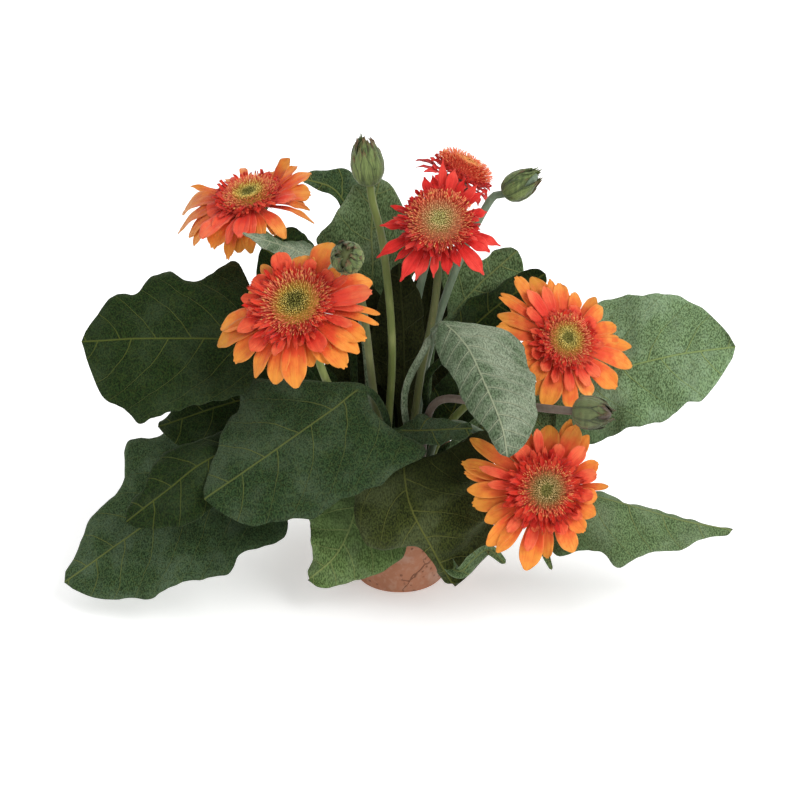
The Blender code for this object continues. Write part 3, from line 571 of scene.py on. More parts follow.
def leaf(name, finish, face, path, left, right=None, tip_face=None, base=2, bend=(0, 0, 0, 0),
         heart=0.2, ripple=2.0, swell=1.5, frill=0.02):
    """One leaf with its stalk, which ends at the path's knot number base.

    Without right the leaf has two equal halves, and without tip_face it looks the
    same way all along. Where a leaf lies in the shade of others, that shade is
    painted into its felt: its row in the table of painted shade is (a, b, c), and
    the felt is painted darker by a u plus b v plus c, held between 0 and 1.
    """
    rings, s, d, is_blade, under, u, v = leaf_surface(
        path, base, (face, tip_face or face), left, right or left, bend, heart, ripple, FELTS[finish][5], swell,
        frill, sum(ord(letter) for letter in name))
    rate = PAINTED_SHADE.get(name, (0.0, 0.0, 0.0))
    dim = np.clip(rate[0] * u + rate[1] * v + rate[2], 0.0, 1.0)
    points, quads, values = tubes(rings[None], blade=is_blade, pale=under, edge=np.abs(v), dim=dim,
                                  s=s / FLAT_SCALE, d=d / FLAT_SCALE + 0.5)
    flat = np.stack([values.pop("s"), values.pop("d")], axis=-1)
    node = name if name.startswith("leaf_") else None
    return add_piece(f"{name}_felt", points, quads, felts[finish], node, values, flat)


# %% [markdown]
# ## The rosette
#
# Each row below is one leaf: where its stalk leaves the soil, the points that its
# midrib passes, which way its face looks, and its half-widths. The right-hand
# leaves catch the light and are greyer, the left-hand ones are deep green.

# %% Leaves
leaf("leaf_left_high", "dark", heart=0.25, bend=(4, 10, -6, -12),
     face=(0, -0.75, 0.66), path=((-36, 10), (-67, 5, 167), (-102, -5, 199), (-172, -15, 208), (-233, -22, 209)),
     left=(36, 46, 50, 53, 57, 62, 67, 52, 44, 4), right=(37, 66, 54, 47, 55, 52, 37, 37, 24, 4))
leaf("leaf_left_low", "deep", bend=(0, 0, -4, -12),
     face=(-0.1, -0.62, 0.78), tip_face=(-0.25, -0.6, 0.76),
     path=((-40, -8), (-53, -10, 122), (-103, -22, 122), (-150, -34, 93), (-197, -45, 62), (-253, -56, 23)),
     left=(60, 73, 65, 71, 62, 55, 54, 40, 29, 4), right=(31, 52, 60, 63, 74, 45, 39, 33, 19, 4))
leaf("leaf_left_fold", "dark", heart=0.1, bend=(0, 0, 0, -10),
     face=(-0.1, -0.75, 0.65), tip_face=(-0.1, -0.5, 0.85),
     path=((-40, 2), (-62, 4, 147), (-97, -4, 156), (-140, -14, 149), (-180, -24, 139)),
     left=(13, 20, 25, 28, 29, 30, 28, 24, 19, 4), right=(24, 37, 37, 33, 26, 18, 14, 11, 8, 4))
leaf("leaf_left_grey", "dark", heart=0.1, bend=(0, -10, 0, -16),
     face=(-0.2, -0.6, 0.77),
     path=((-38, -18), (-58, -32, 132), (-101, -46, 143), (-141, -60, 131), (-170, -70, 112), (-201, -76, 88)),
     left=(16, 25, 31, 33, 32, 34, 31, 23, 16, 4), right=(6, 17, 19, 20, 26, 29, 22, 13, 14, 4))
leaf("leaf_front_big", "moss", heart=0.35, bend=(0, -6, -6, -14),
     face=(0.05, -0.66, 0.75), tip_face=(-0.1, -0.7, 0.7),
     path=((-20, -30), (-9, -24, 138), (-25, -34, 176), (-51, -52, 167), (-96, -74, 143), (-142, -88, 114)),
     left=(66, 65, 66, 61, 57, 59, 49, 41, 33, 4), right=(13, 28, 41, 54, 60, 47, 42, 30, 20, 4))
leaf("leaf_front_light", "light", heart=0.3, ripple=4, bend=(0, -8, 0, -8),
     face=(-0.1, -0.95, 0.3), tip_face=(-0.1, -0.9, 0.4),
     path=((-26, -27), (-25, -42, 122), (-28, -56, 110), (-36, -65, 80), (-48, -67, 54), (-68, -65, 32)),
     left=(24, 32, 40, 45, 43, 34, 26, 21, 15, 5), right=(18, 25, 29, 32, 31, 28, 22, 15, 9, 4))
leaf("leaf_front_drape", "olive", heart=0.62, ripple=5.5, bend=(0, -6, -4, -8),
     face=(0, -0.8, 0.6), tip_face=(0.15, -0.9, 0.42),
     path=((8, -36), (2, -46, 128), (2, -62, 134), (7, -82, 107), (23, -88, 73), (39, -80, 37)),
     left=(64, 66, 68, 69, 66, 57, 51, 48, 46, 6), right=(18, 34, 40, 42, 34, 10, 5, 5, 5, 4))
leaf("leaf_centre_pale", "pale", base=3, ripple=4, bend=(0, -14, -18, -24),
     face=(0.3, -0.4, 0.85), tip_face=(0.2, -0.85, 0.5),
     path=((12, -24), (3, -28, 164), (17, -40, 210), (29, -54, 239), (47, -74, 232),
           (61, -94, 209), (72, -108, 184), (76, -114, 164)),
     left=(15, 27, 37, 43, 39, 38, 33, 31, 19, 4), right=(16, 19, 20, 21, 19, 17, 17, 12, 8, 4))
leaf("leaf_right_high", "grey", heart=0.8, ripple=3.5, bend=(-4, -6, -4, -14),
     face=(0.1, -0.7, 0.7), tip_face=(0.2, -0.75, 0.62),
     path=((34, 4), (75, 2, 144), (111, 6, 151), (157, 4, 171), (202, -2, 187), (248, -6, 197)),
     left=(26, 46, 50, 56, 56, 51, 49, 41, 26, 4), right=(36, 45, 46, 45, 46, 44, 37, 36, 21, 4))
leaf("leaf_right_low", "mid", heart=0.1, bend=(-50, -10, -4, -10),
     face=(0.05, -0.5, 0.85), tip_face=(0.15, -0.5, 0.85),
     path=((30, -19), (70, -36, 120), (115, -52, 106), (163, -58, 94), (208, -54, 77), (249, -46, 63)),
     left=(16, 24, 26, 26, 24, 22, 18, 14, 9, 4), right=(52, 45, 41, 51, 37, 28, 25, 14, 7, 4))
leaf("leaf_back_centre", "mid", ripple=5, bend=(0, 6, 0, 6),
     face=(0, -0.85, 0.5), tip_face=(0, -0.7, 0.7),
     path=((-6, 30), (-11, 48, 158), (-20, 62, 202), (-21, 70, 230), (-21, 76, 263), (-15, 78, 296)),
     left=(17, 32, 37, 37, 42, 33, 26, 21, 18, 4), right=(22, 30, 35, 36, 35, 32, 28, 23, 14, 4))
leaf("leaf_back_left_tip", "deep", heart=0.1,
     face=(0.1, -0.6, 0.8),
     path=((-19, 31), (-18, 70, 173), (-28, 92, 220), (-35, 102, 249), (-50, 106, 274), (-75, 104, 285)),
     left=(5, 9, 10, 8, 5, 5, 5, 5, 5, 4), right=(5, 13, 15, 16, 18, 21, 20, 12, 10, 4))
leaf("leaf_left_pale_fold", "pale", heart=0, bend=(20, 10, -20, -20),
     face=(0.1, -0.55, 0.82), path=((-22, 14), (-27, 14, 199), (-43, 10, 247), (-73, 6, 268), (-114, -3, 287)),
     left=(9, 14, 17, 18, 17, 15, 13, 10, 7, 3), right=(8, 13, 16, 15, 11, 9, 8, 7, 5, 3))
leaf("leaf_left_dark_high", "dark", heart=0.1, bend=(0, 6, 0, 0),
     face=(-0.2, -0.75, 0.65), path=((-36, 21), (-36, 24, 183), (-52, 24, 216), (-74, 26, 239), (-102, 30, 262)),
     left=(21, 26, 29, 30, 31, 32, 31, 25, 16, 4), right=(7, 12, 18, 23, 24, 25, 26, 26, 23, 4))
leaf("leaf_right_back_grey", "mid", bend=(4, 10, 0, 4),
     face=(0.1, -0.8, 0.6), path=((20, 28), (24, 44, 169), (38, 54, 191), (59, 62, 214), (89, 68, 241)),
     left=(8, 18, 26, 30, 25, 15, 11, 12, 9, 4), right=(17, 20, 23, 24, 24, 24, 23, 22, 15, 4))
leaf("leaf_right_back_dark", "dark", heart=0.1, bend=(0, 0, 0, -10),
     face=(0.1, -0.6, 0.78), path=((28, 20), (19, 26, 148), (38, 34, 172), (68, 40, 203), (109, 42, 234)),
     left=(13, 15, 16, 19, 15, 11, 13, 13, 10, 4), right=(11, 20, 24, 28, 28, 27, 26, 20, 10, 4))
leaf("leaf_inner_left", "shade", base=1,
     face=(0.1, -0.85, 0.5), path=((-16, 8), (-17, 27, 120), (-20, 34, 158), (-29, 38, 200), (-38, 37, 238)),
     left=(24, 35, 38, 37, 33, 28, 23, 17, 11, 4), right=(14, 20, 24, 26, 26, 25, 22, 17, 11, 4))
leaf("leaf_inner_right", "shade", base=1,
     face=(0.1, -0.85, 0.5), path=((0, 10), (1, 17, 116), (3, 24, 154), (2, 30, 201), (-1, 33, 247)),
     left=(4, 10, 22, 27, 27, 24, 20, 16, 10, 4), right=(10, 12, 13, 16, 17, 16, 16, 14, 9, 4))
leaf("leaf_inner_dark", "shade", base=1, heart=0.1,
     face=(0, -0.9, 0.45), path=((4, 40), (6, 52, 114), (13, 68, 148), (22, 78, 199), (27, 81, 240)),
     left=(24, 28, 27, 24, 20, 17, 14, 11, 8, 3), right=(26, 36, 38, 38, 36, 32, 26, 19, 11, 4))
leaf("leaf_inner_green", "dark", base=1, heart=0.1,
     face=(0, -0.9, 0.45), path=((26, 8), (33, 10, 116), (41, 12, 136), (48, 14, 156), (56, 17, 176)),
     left=(10, 15, 19, 20, 19, 17, 14, 11, 7, 3))
leaf("leaf_inner_front", "deep",
     face=(0.1, -0.5, 0.85), path=((4, -14), (-3, -28, 134), (-1, -34, 141), (18, -42, 146), (53, -52, 153)),
     left=(8, 12, 13, 12, 11, 9, 8, 7, 5, 3), right=(9, 13, 14, 14, 13, 12, 11, 10, 8, 3))
leaf("leaf_back_left", "mid", bend=(0, -10, 0, -10),
     face=(-0.2, 0.4, 0.9), path=((-26, 30), (-50, 46, 142), (-90, 62, 158), (-135, 74, 150), (-180, 80, 128)),
     left=(34, 46, 50, 51, 49, 45, 38, 29, 18, 5))
leaf("leaf_back_right", "deep", bend=(0, -10, 0, -10),
     face=(0.2, 0.4, 0.9), path=((27, 31), (52, 46, 136), (90, 62, 150), (135, 72, 142), (185, 78, 120)),
     left=(34, 46, 50, 51, 49, 45, 38, 29, 18, 5))
leaf("leaf_back_low_left", "deep", bend=(0, -12, 0, -12),
     face=(-0.3, 0.55, 0.78), path=((-14, 37), (-22, 58, 116), (-42, 74, 110), (-66, 88, 84), (-88, 98, 50)),
     left=(28, 39, 43, 44, 42, 38, 32, 25, 15, 5))
leaf("leaf_back_low_right", "mid", bend=(0, -12, 0, -12),
     face=(0.3, 0.55, 0.78), path=((14, 37), (24, 58, 114), (44, 74, 106), (68, 88, 80), (92, 98, 46)),
     left=(28, 39, 43, 44, 42, 38, 32, 25, 15, 5))

# %% [markdown]
# ## Young leaves
#
# Between the large stalks small leaves are still pushing up. Four of them close
# the crown, so that no table shows through it. One is the curled edge of the leaf
# that drapes over the pot, and one is a tip under the lowest bloom.

# %% Young leaves
leaf("young_left", "dark", base=1, heart=0.1,
     face=(0, -0.75, 0.65), path=((-18, 14), (-30, 16, 118), (-58, 18, 146), (-88, 17, 164), (-126, 14, 170)),
     left=(8, 12, 15, 17, 18, 20, 20, 17, 12, 3))
leaf("young_right", "mid", base=1, heart=0.1,
     face=(0, -0.75, 0.65), path=((30, 14), (48, 8, 112), (80, 6, 130), (112, 6, 138), (152, 6, 144)),
     left=(8, 12, 16, 19, 21, 22, 20, 16, 10, 3))
leaf("young_middle", "shade", base=1, heart=0.1,
     face=(0, -0.9, 0.45), path=((-6, 26), (-5, 34, 104), (-4, 37, 124), (-4, 40, 146), (-5, 43, 172)),
     left=(9, 12, 13, 13, 12, 11, 9, 7, 5, 3))
leaf("young_back", "shade", base=1, heart=0.1,
     face=(0, -0.9, 0.45), path=((20, 30), (19, 37, 104), (19, 39, 124), (18, 41, 146), (17, 44, 172)),
     left=(7, 10, 12, 12, 11, 10, 8, 6, 4, 3))
leaf("young_curl", "mid", base=1, heart=0, ripple=1, swell=0.4, frill=0, bend=(20, 60, 10, 40),
     face=(0.1, -0.9, 0.4), tip_face=(0.1, -0.7, 0.7),
     path=((12, -34), (26, -68, 92), (34, -76, 57), (44, -85, 51), (54, -89, 64), (65, -91, 73), (77, -92, 62)),
     left=(4, 4, 5, 6, 6, 6, 6, 5, 4, 2))
leaf("young_tip", "mid", base=1, heart=0, ripple=1, swell=0.4, frill=0, bend=(20, 0, 20, 0),
     face=(0.2, -0.9, 0.3), path=((26, -24), (97, -50, 87), (104, -62, 64), (109, -66, 52), (113, -70, 43)),
     left=(3, 3, 4, 4, 4, 4, 3, 3, 2, 1))

# %% [markdown]
# ## Bloom
#
# A gerbera head is many flowers on one plate. Long rays stand outside, shorter
# coral rays lie over them, small deep-red curls crowd round the middle, and the
# middle itself is a dome of more than a thousand thread-like florets.
#
# Every ray is the same surface with its own angle, length, width, twist and tone,
# so a whole layer is one array with a first axis that counts the rays.

# %% Where a bloom's pieces lie
HUB_DEPTH = 3.0
HUB_GAP = 0.3
GOLDEN_ANGLE = math.pi * (3.0 - math.sqrt(5.0))


def bloom_axes(axis):
    """Rows x, y and z of a bloom: z is its axis and x lies level."""
    z = unit(axis)
    x = unit(np.cross(UP, z))
    return np.stack([x, np.cross(z, x), z])


def polar(radius, angle, height, side=0.0):
    """Points at a radius, an angle and a height, moved sideways square to the radius."""
    radius, angle, height, side = np.broadcast_arrays(radius, angle, height, side)
    across, deep = np.cos(angle), np.sin(angle)
    return np.stack([radius * across - side * deep, radius * deep + side * across, height], axis=-1)


def two_sided(columns):
    """v from -1 to 1 over the upper side and back under the lower one, and which side it is."""
    v = np.linspace(-1.0, 1.0, columns)
    return np.concatenate([v, v[::-1]])[None, None], np.repeat([1.0, -1.0], columns)[None, None]


def placed(part, centre, axes):
    """Points of a part turned from a bloom's own frame into the plant's."""
    return (np.asarray(centre) + part[0] @ axes, *part[1:])


# %% Petal finish
def petal_finish(name, dull, full, bright, streak):
    """Thin silk. dull, full and bright each hold the colours at a petal's base and tip.

    A petal's tone from 0 to 1 leads from dull through full to bright. Fine streaks
    run along it, and its rims are a little paler.
    """
    material, tree, place = new_finish(name, 0.55, Sheen_Weight=0.15, Sheen_Roughness=0.4, Specular_IOR_Level=0.25)
    along_it, tone, across = values_of(tree, "along", "tone", "across")
    lines = noise(put(tree, "CombineXYZ", X=across * 3.6, Y=along_it * 0.6, Z=tone * 37.0), 4.0, 3.0)
    cloud = noise(place, 130.0, 3.0) - 0.5
    at = ramp(along_it + cloud * 0.9, 0.20, 1.00)
    shade = tone + cloud * 0.5
    low, middle, high = (blend(at, *pair) for pair in (dull, full, bright))
    # painted shade in part: rays with a low tone, some of them turned from the light, take the dull colours
    colour = blend(ramp(shade, 0.5, 1.0), blend(ramp(shade, 0.0, 0.5), low, middle), high)
    colour = blend(ramp(abs(across), 0.82, 1.0) * 0.35, colour, bright[1])
    colour = blend(ramp(lines, 0.52, 0.75) * 0.55, colour, streak)
    return finished(material, colour, lines + noise(place, 1500.0) * 0.3, 0.0007, 0.9)


petals = {
    "outer": petal_finish("silk_orange", ((0.62, 0.075, 0.014), (0.68, 0.27, 0.028)),
                          ((0.80, 0.070, 0.020), (0.90, 0.32, 0.040)), ((0.90, 0.10, 0.036), (0.96, 0.42, 0.090)),
                          (0.76, 0.11, 0.022)),
    "coral": petal_finish("silk_coral", ((0.58, 0.028, 0.014), (0.72, 0.075, 0.028)),
                          ((0.78, 0.036, 0.016), (0.91, 0.120, 0.042)), ((0.88, 0.060, 0.030), (0.96, 0.205, 0.075)),
                          (0.64, 0.04, 0.022)),
    "deep": petal_finish("silk_deep_red", ((0.58, 0.012, 0.006), (0.76, 0.026, 0.010)),
                         ((0.80, 0.024, 0.010), (0.92, 0.060, 0.022)), ((0.90, 0.042, 0.020), (0.97, 0.13, 0.050)),
                         (0.58, 0.012, 0.010)),
    "red": petal_finish("silk_red", ((0.40, 0.006, 0.005), (0.56, 0.010, 0.008)),
                        ((0.66, 0.012, 0.009), (0.85, 0.028, 0.020)), ((0.84, 0.032, 0.024), (0.97, 0.090, 0.060)),
                        (0.50, 0.009, 0.008)),
}
print("petal finishes:", len(petals))

# %% [markdown]
# ## Long rays
#
# No two rays are alike, and the gaps between them give each head its face. The
# rays are therefore listed one by one: angle round the bloom in degrees, reach
# and width in millimetres, a tone from 0, dull amber, to 9, bright coral, which is
# partly the ray's own colour and partly painted shade on rays turned from the
# light, and for some of them how much the ray rises as it runs out.

# %% Petal tables
OUTER_PETALS = {
    1: ((19, 32, 5, 3), (30, 26, 5, 3), (37, 20, 8, 8, .05), (52, 24, 16, 5, .1), (77, 30, 17, 4, .25),
        (90, 21, 10, 2, .9), (93, 27, 11, 3, .3), (112, 16, 15, 7, .35), (131, 18, 11, 3), (151, 34, 6, 4, .2),
        (164, 33, 8, 1, .1), (181, 26, 12, 3), (199, 34, 5, 3, .5), (202, 49, 17, 2), (223, 42, 17, 2),
        (239, 32, 17, 3), (253, 31, 17, 4), (280, 27, 17, 4), (298, 33, 9, 3), (308, 26, 14, 1),
        (319, 28, 11, 1), (332, 20, 11, 6), (345, 22, 5, 6), (351, 28, 9, 7)),
    2: ((2, 34, 5, 5), (9, 34, 5, 5), (34, 30, 14, 6), (58, 15, 10, 4, .1), (81, 30, 16, 0, .1),
        (102, 16, 17, 1, .1), (122, 12, 11, 2, .1), (144, 23, 8, 1), (170, 17, 11, 4), (187, 15, 11, 3),
        (203, 35, 15, 5), (214, 40, 16, 0), (232, 35, 14, 3), (250, 33, 11, 3), (268, 32, 14, 3),
        (283, 34, 17, 4), (298, 21, 11, 3), (314, 24, 12, 3), (322, 34, 14, 4), (334, 32, 13, 5),
        (345, 32, 14, 5)),
    3: ((21, 14, 8, 6), (41, 19, 6, 6, .1), (65, 12, 8, 6, .1), (89, 25, 6, 8, .5), (99, 18, 7, 4, .1),
        (110, 18, 7, 3, .1), (141, 10, 5, 3, .1), (159, 18, 5, 5), (180, 22, 8, 5), (209, 30, 9, 4),
        (222, 21, 6, 3), (237, 30, 10, 6), (249, 24, 10, 8), (265, 20, 6, 8), (282, 17, 8, 4), (296, 14, 7, 4),
        (313, 28, 11, 7), (333, 20, 11, 6), (343, 25, 7, 7), (357, 6, 5, 5)),
    4: ((0, 16, 8, 4, .1), (30, 16, 8, 5, .2), (60, 15, 8, 4, .2), (76, 17, 8, 1, .3), (91, 17, 8, 1, .2),
        (108, 16, 8, 4, .2), (128, 15, 8, 5, .1), (150, 13, 8, 5), (175, 12, 8, 5), (205, 12, 8, 6),
        (240, 12, 8, 5), (271, 11, 8, 5), (300, 12, 8, 6), (328, 14, 8, 5)),
    5: ((4, 26, 10, 4), (24, 24, 10, 6), (35, 26, 8, 1), (54, 20, 10, 4), (73, 24, 12, 7), (83, 27, 7, 5),
        (96, 32, 13, 0), (111, 38, 13, 3), (126, 36, 7, 3), (130, 36, 5, 4), (133, 26, 8, 5), (144, 31, 10, 0),
        (156, 31, 13, 1), (180, 14, 12, 5), (196, 15, 10, 3), (213, 18, 11, 2), (227, 24, 9, 1),
        (237, 30, 14, 2), (260, 29, 11, 5), (280, 24, 12, 8), (306, 32, 14, 5), (331, 37, 13, 6),
        (344, 36, 9, 4), (351, 26, 8, 6)),
    6: ((1, 24, 5, 3), (24, 21, 10, 4), (47, 28, 10, 4), (60, 30, 13, 6), (67, 32, 8, 2), (84, 24, 13, 1),
        (109, 28, 10, 2), (128, 32, 9, 2), (144, 43, 9, 1), (160, 42, 12, 1), (167, 38, 9, 3),
        (178, 34, 10, 2), (190, 32, 14, 0), (205, 27, 11, 2), (221, 36, 12, 4), (229, 35, 10, 3),
        (254, 38, 16, 4), (271, 28, 8, 1), (292, 28, 12, 6), (310, 20, 11, 4), (330, 19, 11, 3),
        (349, 16, 11, 6)),
}
INNER_PETALS = {
    1: ((25, 19, 12, 8, .1), (90, 7, 10, 7, .3), (120, 12, 9, 5, .1), (166, 16, 6, 2, .1), (200, 14, 9, 5),
        (245, 14, 17, 3), (275, 31, 14, 7), (280, 21, 11, 6), (301, 32, 7, 3), (312, 32, 11, 4),
        (322, 28, 9, 6)),
    2: ((7, 25, 5, 7), (18, 32, 14, 9, .05), (40, 17, 7, 5, .1), (57, 10, 11, 6, .1), (90, 12, 9, 5, .1),
        (125, 18, 12, 6, .25), (160, 16, 11, 3, .1), (184, 18, 8, 4), (205, 14, 9, 4), (216, 22, 9, 6),
        (240, 22, 11, 6), (266, 18, 8, 7), (292, 8, 6, 5), (312, 20, 13, 3), (349, 22, 6, 7)),
    3: ((10, 8, 6, 6), (41, 7, 8, 8, .1), (48, 18, 7, 7, .2), (62, 16, 5, 4, .3), (76, 20, 9, 9, .35),
        (100, 9, 6, 5, .1), (140, 9, 6, 4), (181, 10, 7, 4), (219, 10, 7, 3), (265, 8, 6, 5), (313, 4, 7, 5),
        (350, 9, 6, 5)),
    4: ((20, 9, 7, 5), (60, 9, 7, 6), (100, 9, 7, 5), (152, 11, 6, 5), (168, 12, 7, 6), (186, 10, 7, 7),
        (232, 8, 7, 6), (265, 9, 7, 6), (299, 11, 7, 7), (335, 9, 7, 6)),
    5: ((20, 10, 8, 6), (53, 8, 8, 7), (95, 22, 8, 8), (112, 25, 9, 8), (128, 16, 7, 8), (159, 5, 7, 8),
        (190, 9, 8, 6), (215, 10, 7, 7), (235, 14, 6, 6), (257, 18, 7, 6), (282, 17, 8, 8), (298, 16, 8, 8),
        (341, 10, 5, 6)),
    6: ((16, 17, 9, 8), (45, 20, 11, 8), (70, 13, 8, 7), (97, 23, 6, 8), (120, 16, 11, 7), (159, 30, 6, 8),
        (172, 21, 6, 6), (225, 10, 6, 6), (225, 20, 7, 8), (251, 10, 6, 8), (251, 25, 8, 7), (290, 13, 8, 6),
        (318, 12, 6, 8), (350, 13, 8, 6)),
}
print("rays listed:", sum(map(len, OUTER_PETALS.values())) + sum(map(len, INNER_PETALS.values())))


# %% Long rays
RAY_ROWS, RAY_COLUMNS = 18, 11


def ray_layer(table, low, hub, lift, droop, sag, seed, pointed):
    """Rings of a layer of rays in the bloom's own frame.

    With r the way out from the hub as a share of the ray's reach, the height is
    start plus reach times r times (lift plus rise), less reach times fall times r
    squared. The half-width swells from the claw by a smooth step. A blunt ray
    ends like a rounded square, a pointed one like a lance. Two grooves, a dish, a
    twist and a wavy edge are added.
    """
    draw = np.random.default_rng(seed)
    full_rows = np.array([(*row, 0.0)[:5] for row in table])
    angle, reach, width, tone, rise = (column[:, None, None] for column in full_rows.T)
    count = len(table)
    angle, tone = np.radians(angle), tone / 9.0
    wide, cup, twist, bend, curl, phase = draw.uniform(0.0, 1.0, (6, count, 1, 1))
    r = (1.0 - 1.5 * (1.0 - np.linspace(0.0, 1.0, RAY_ROWS)) ** 1.35)[None, :, None]
    v, face = two_sided(RAY_COLUMNS)
    if pointed:
        end = np.maximum(1 - np.clip((r - 0.50) / 0.50, 0, 1) ** 2.6, 0.24)
    else:
        end = np.sqrt(1 - 0.74 * np.clip((r - 0.40) / 0.60, 0, 1) ** 4.2)
    half = (0.53 if pointed else 0.58) * width * (0.46 + 0.54 * smooth_step(-0.3, 0.6, r)) * end * (0.94 + 0.14 * wide)
    pull = (0.06 + 0.05 * bend) * np.abs(v) ** 2 * smooth_step(0.35, 1.0, r)
    pull = pull + (0.0 if pointed else 0.018) * (curl > 0.5) * (1 + np.cos(3 * math.pi * v)) * smooth_step(0.75, 1.0, r)
    r_here = r - pull
    r_up = np.clip(r_here, 0.0, 1.2)
    start = low + 1.5 + 0.9 * (np.arange(count)[:, None, None] % 2 - 0.5)
    fall = droop + sag * (1 - np.sin(angle)) / 2
    height = start + (lift + rise) * reach * r_up - fall * reach * r_up**2
    height = height + reach * (0.14 * curl - 0.07) * smooth_step(0.6, 1.0, r) ** 2 * (r < 1.01)
    roll = np.radians(34 * (twist - 0.5)) * smooth_step(0.0, 1.0, r)
    dish = half * (0.34 * cup - 0.08) * v**2 * smooth_step(0.0, 0.4, r)
    groove = -0.07 * width * np.exp(-((np.abs(v) - 0.38) / 0.13) ** 2) * smooth_step(0.0, 0.3, r) * (1 - 0.5 * r_up)
    wave = 0.6 * np.abs(v) ** 3 * np.sin(2 * math.pi * (1.9 * r + phase + 0.25 * np.sign(v))) * smooth_step(0.2, 0.7, r)
    side = reach * 0.09 * (bend - 0.5) * np.clip(r, 0, 1) ** 2 + half * v * np.cos(roll)
    height = height + half * v * np.sin(roll) + dish + groove + wave + (0.27 - 0.10 * r) * (1 - 0.55 * v**6) * face
    rings = polar(hub + reach * r_here, angle, height, side)
    return tubes(rings, along=np.clip(r_here, 0, 1), tone=tone, across=v)


# %% Curls round the middle
CURLS = 120


def curl_layer(low, disc, seed, grow):
    """Small ragged petals that start under the dome and stand up and out round it.

    They stand in four rows. A curl's middle line leaves the plate at 0.56 to 0.74
    of disc and bends up with the power 1.7 of the way along it. grow is (size,
    extra, direction): curls near the direction, in degrees, are longer.
    """
    draw = np.random.default_rng(seed)
    k = np.arange(CURLS)[:, None, None]
    angle = (k + draw.uniform(-0.8, 0.8, (CURLS, 1, 1))) * 2 * math.pi / CURLS
    row = k % 4
    tone, size, rise, roll, wide, sway, phase = draw.uniform(0.0, 1.0, (7, CURLS, 1, 1))
    more = grow[0] * (1 + grow[1] * np.cos(angle - math.radians(grow[2])))
    t = np.linspace(0.0, 1.0, 8)[None, :, None]
    v, face = two_sided(5)
    reach = disc * (0.26 + 0.24 * size) * more
    ragged = 0.10 * np.sin(5.0 * v + 6.0 * phase) * t**3 - 0.16 * v**2 * t
    out = (0.56 + 0.06 * row) * disc + reach * (t + ragged) * (1.0 - 0.25 * rise * t)
    height = low + 3.4 - 0.9 * row + reach * (0.05 + 0.9 * (rise - 0.35)) * t**1.7 + 1.2 * tone * t
    half = (1.3 + 1.8 * wide * size) * (0.4 + 1.25 * t * (1.25 - t)) * more**0.5
    turn = np.radians(110 * (roll - 0.5)) * t
    side = half * v * np.cos(turn) + 4.0 * (sway - 0.5) * t**2
    height = height + half * v * np.sin(turn) + (0.9 * roll - 0.2) * half * v**2
    height = height + 0.45 * t * np.abs(v) * np.sin(2 * math.pi * (1.4 * t + phase + 0.3 * np.sign(v)))
    height = height + 0.18 * face * (1 - 0.5 * v**6)
    return tubes(polar(out, angle, height, side), along=t, tone=tone, across=v)


# %% Floret finish
def floret_finish(name, outer, middle, eye):
    """Threads coloured by ring: outer, middle and eye hold the root, shaft and tip colours.

    Only the threads with a high tone have a gold tip in the outer ring; the rest
    keep the shaft's colour.
    """
    material, tree, place = new_finish(name, 0.6, Specular_IOR_Level=0.25)
    along_it, ring, tone = values_of(tree, "along", "ring", "tone")
    loose = ring + (noise(place, 260.0) - 0.5 + tone * 0.3) * 0.28
    up, knob = ramp(along_it, 0.15, 0.7), ramp(along_it, 0.72, 0.86)
    tipped = (knob * ramp(tone, 0.50, 0.90), knob * tone, knob * tone)
    thread, inside, centre = (blend(tip, blend(up, part[0], part[1]), part[2])
                              for tip, part in zip(tipped, (outer, middle, eye)))
    colour = blend(ramp(loose, 0.52, 0.74), inside, thread)
    return finished(material, blend(ramp(loose, 0.25, 0.45), centre, colour), noise(place, 1400.0), 0.0002, 0.6)


florets = {
    "orange": floret_finish("floret_gold", ((0.66, 0.045, 0.026), (0.92, 0.235, 0.125), (1.0, 0.60, 0.17)),
                            ((0.55, 0.33, 0.05), (0.86, 0.62, 0.12), (0.97, 0.80, 0.24)),
                            ((0.09, 0.085, 0.012), (0.19, 0.175, 0.03), (0.32, 0.29, 0.065))),
    "ripe": floret_finish("floret_ripe", ((0.64, 0.040, 0.022), (0.90, 0.19, 0.10), (0.98, 0.55, 0.16)),
                          ((0.40, 0.24, 0.07), (0.66, 0.42, 0.15), (0.84, 0.64, 0.28)),
                          ((0.09, 0.085, 0.014), (0.19, 0.175, 0.035), (0.32, 0.29, 0.08))),
    "red": floret_finish("floret_coral", ((0.62, 0.050, 0.025), (0.94, 0.24, 0.12), (1.0, 0.60, 0.18)),
                         ((0.55, 0.22, 0.09), (0.92, 0.50, 0.24), (0.98, 0.72, 0.34)),
                         ((0.30, 0.24, 0.05), (0.60, 0.52, 0.16), (0.72, 0.66, 0.26))),
    "flame": floret_finish("floret_flame", ((0.60, 0.035, 0.018), (0.96, 0.19, 0.09), (0.98, 0.48, 0.20)),
                           ((0.55, 0.05, 0.02), (0.94, 0.21, 0.08), (0.97, 0.50, 0.16)),
                           ((0.55, 0.08, 0.03), (0.90, 0.28, 0.08), (0.95, 0.55, 0.16))),
}
print("floret finishes:", len(florets))


# %% Dome of florets
def dome_height(share, tall):
    """Height of the plate under the florets at a share of the dome's radius."""
    return tall * (1 - 0.62 * np.clip(share, 0, 1) ** 3) - 1.5 * np.exp(-(share / 0.24) ** 2)


FLORETS = 1050
PLATE_SIDES = 40


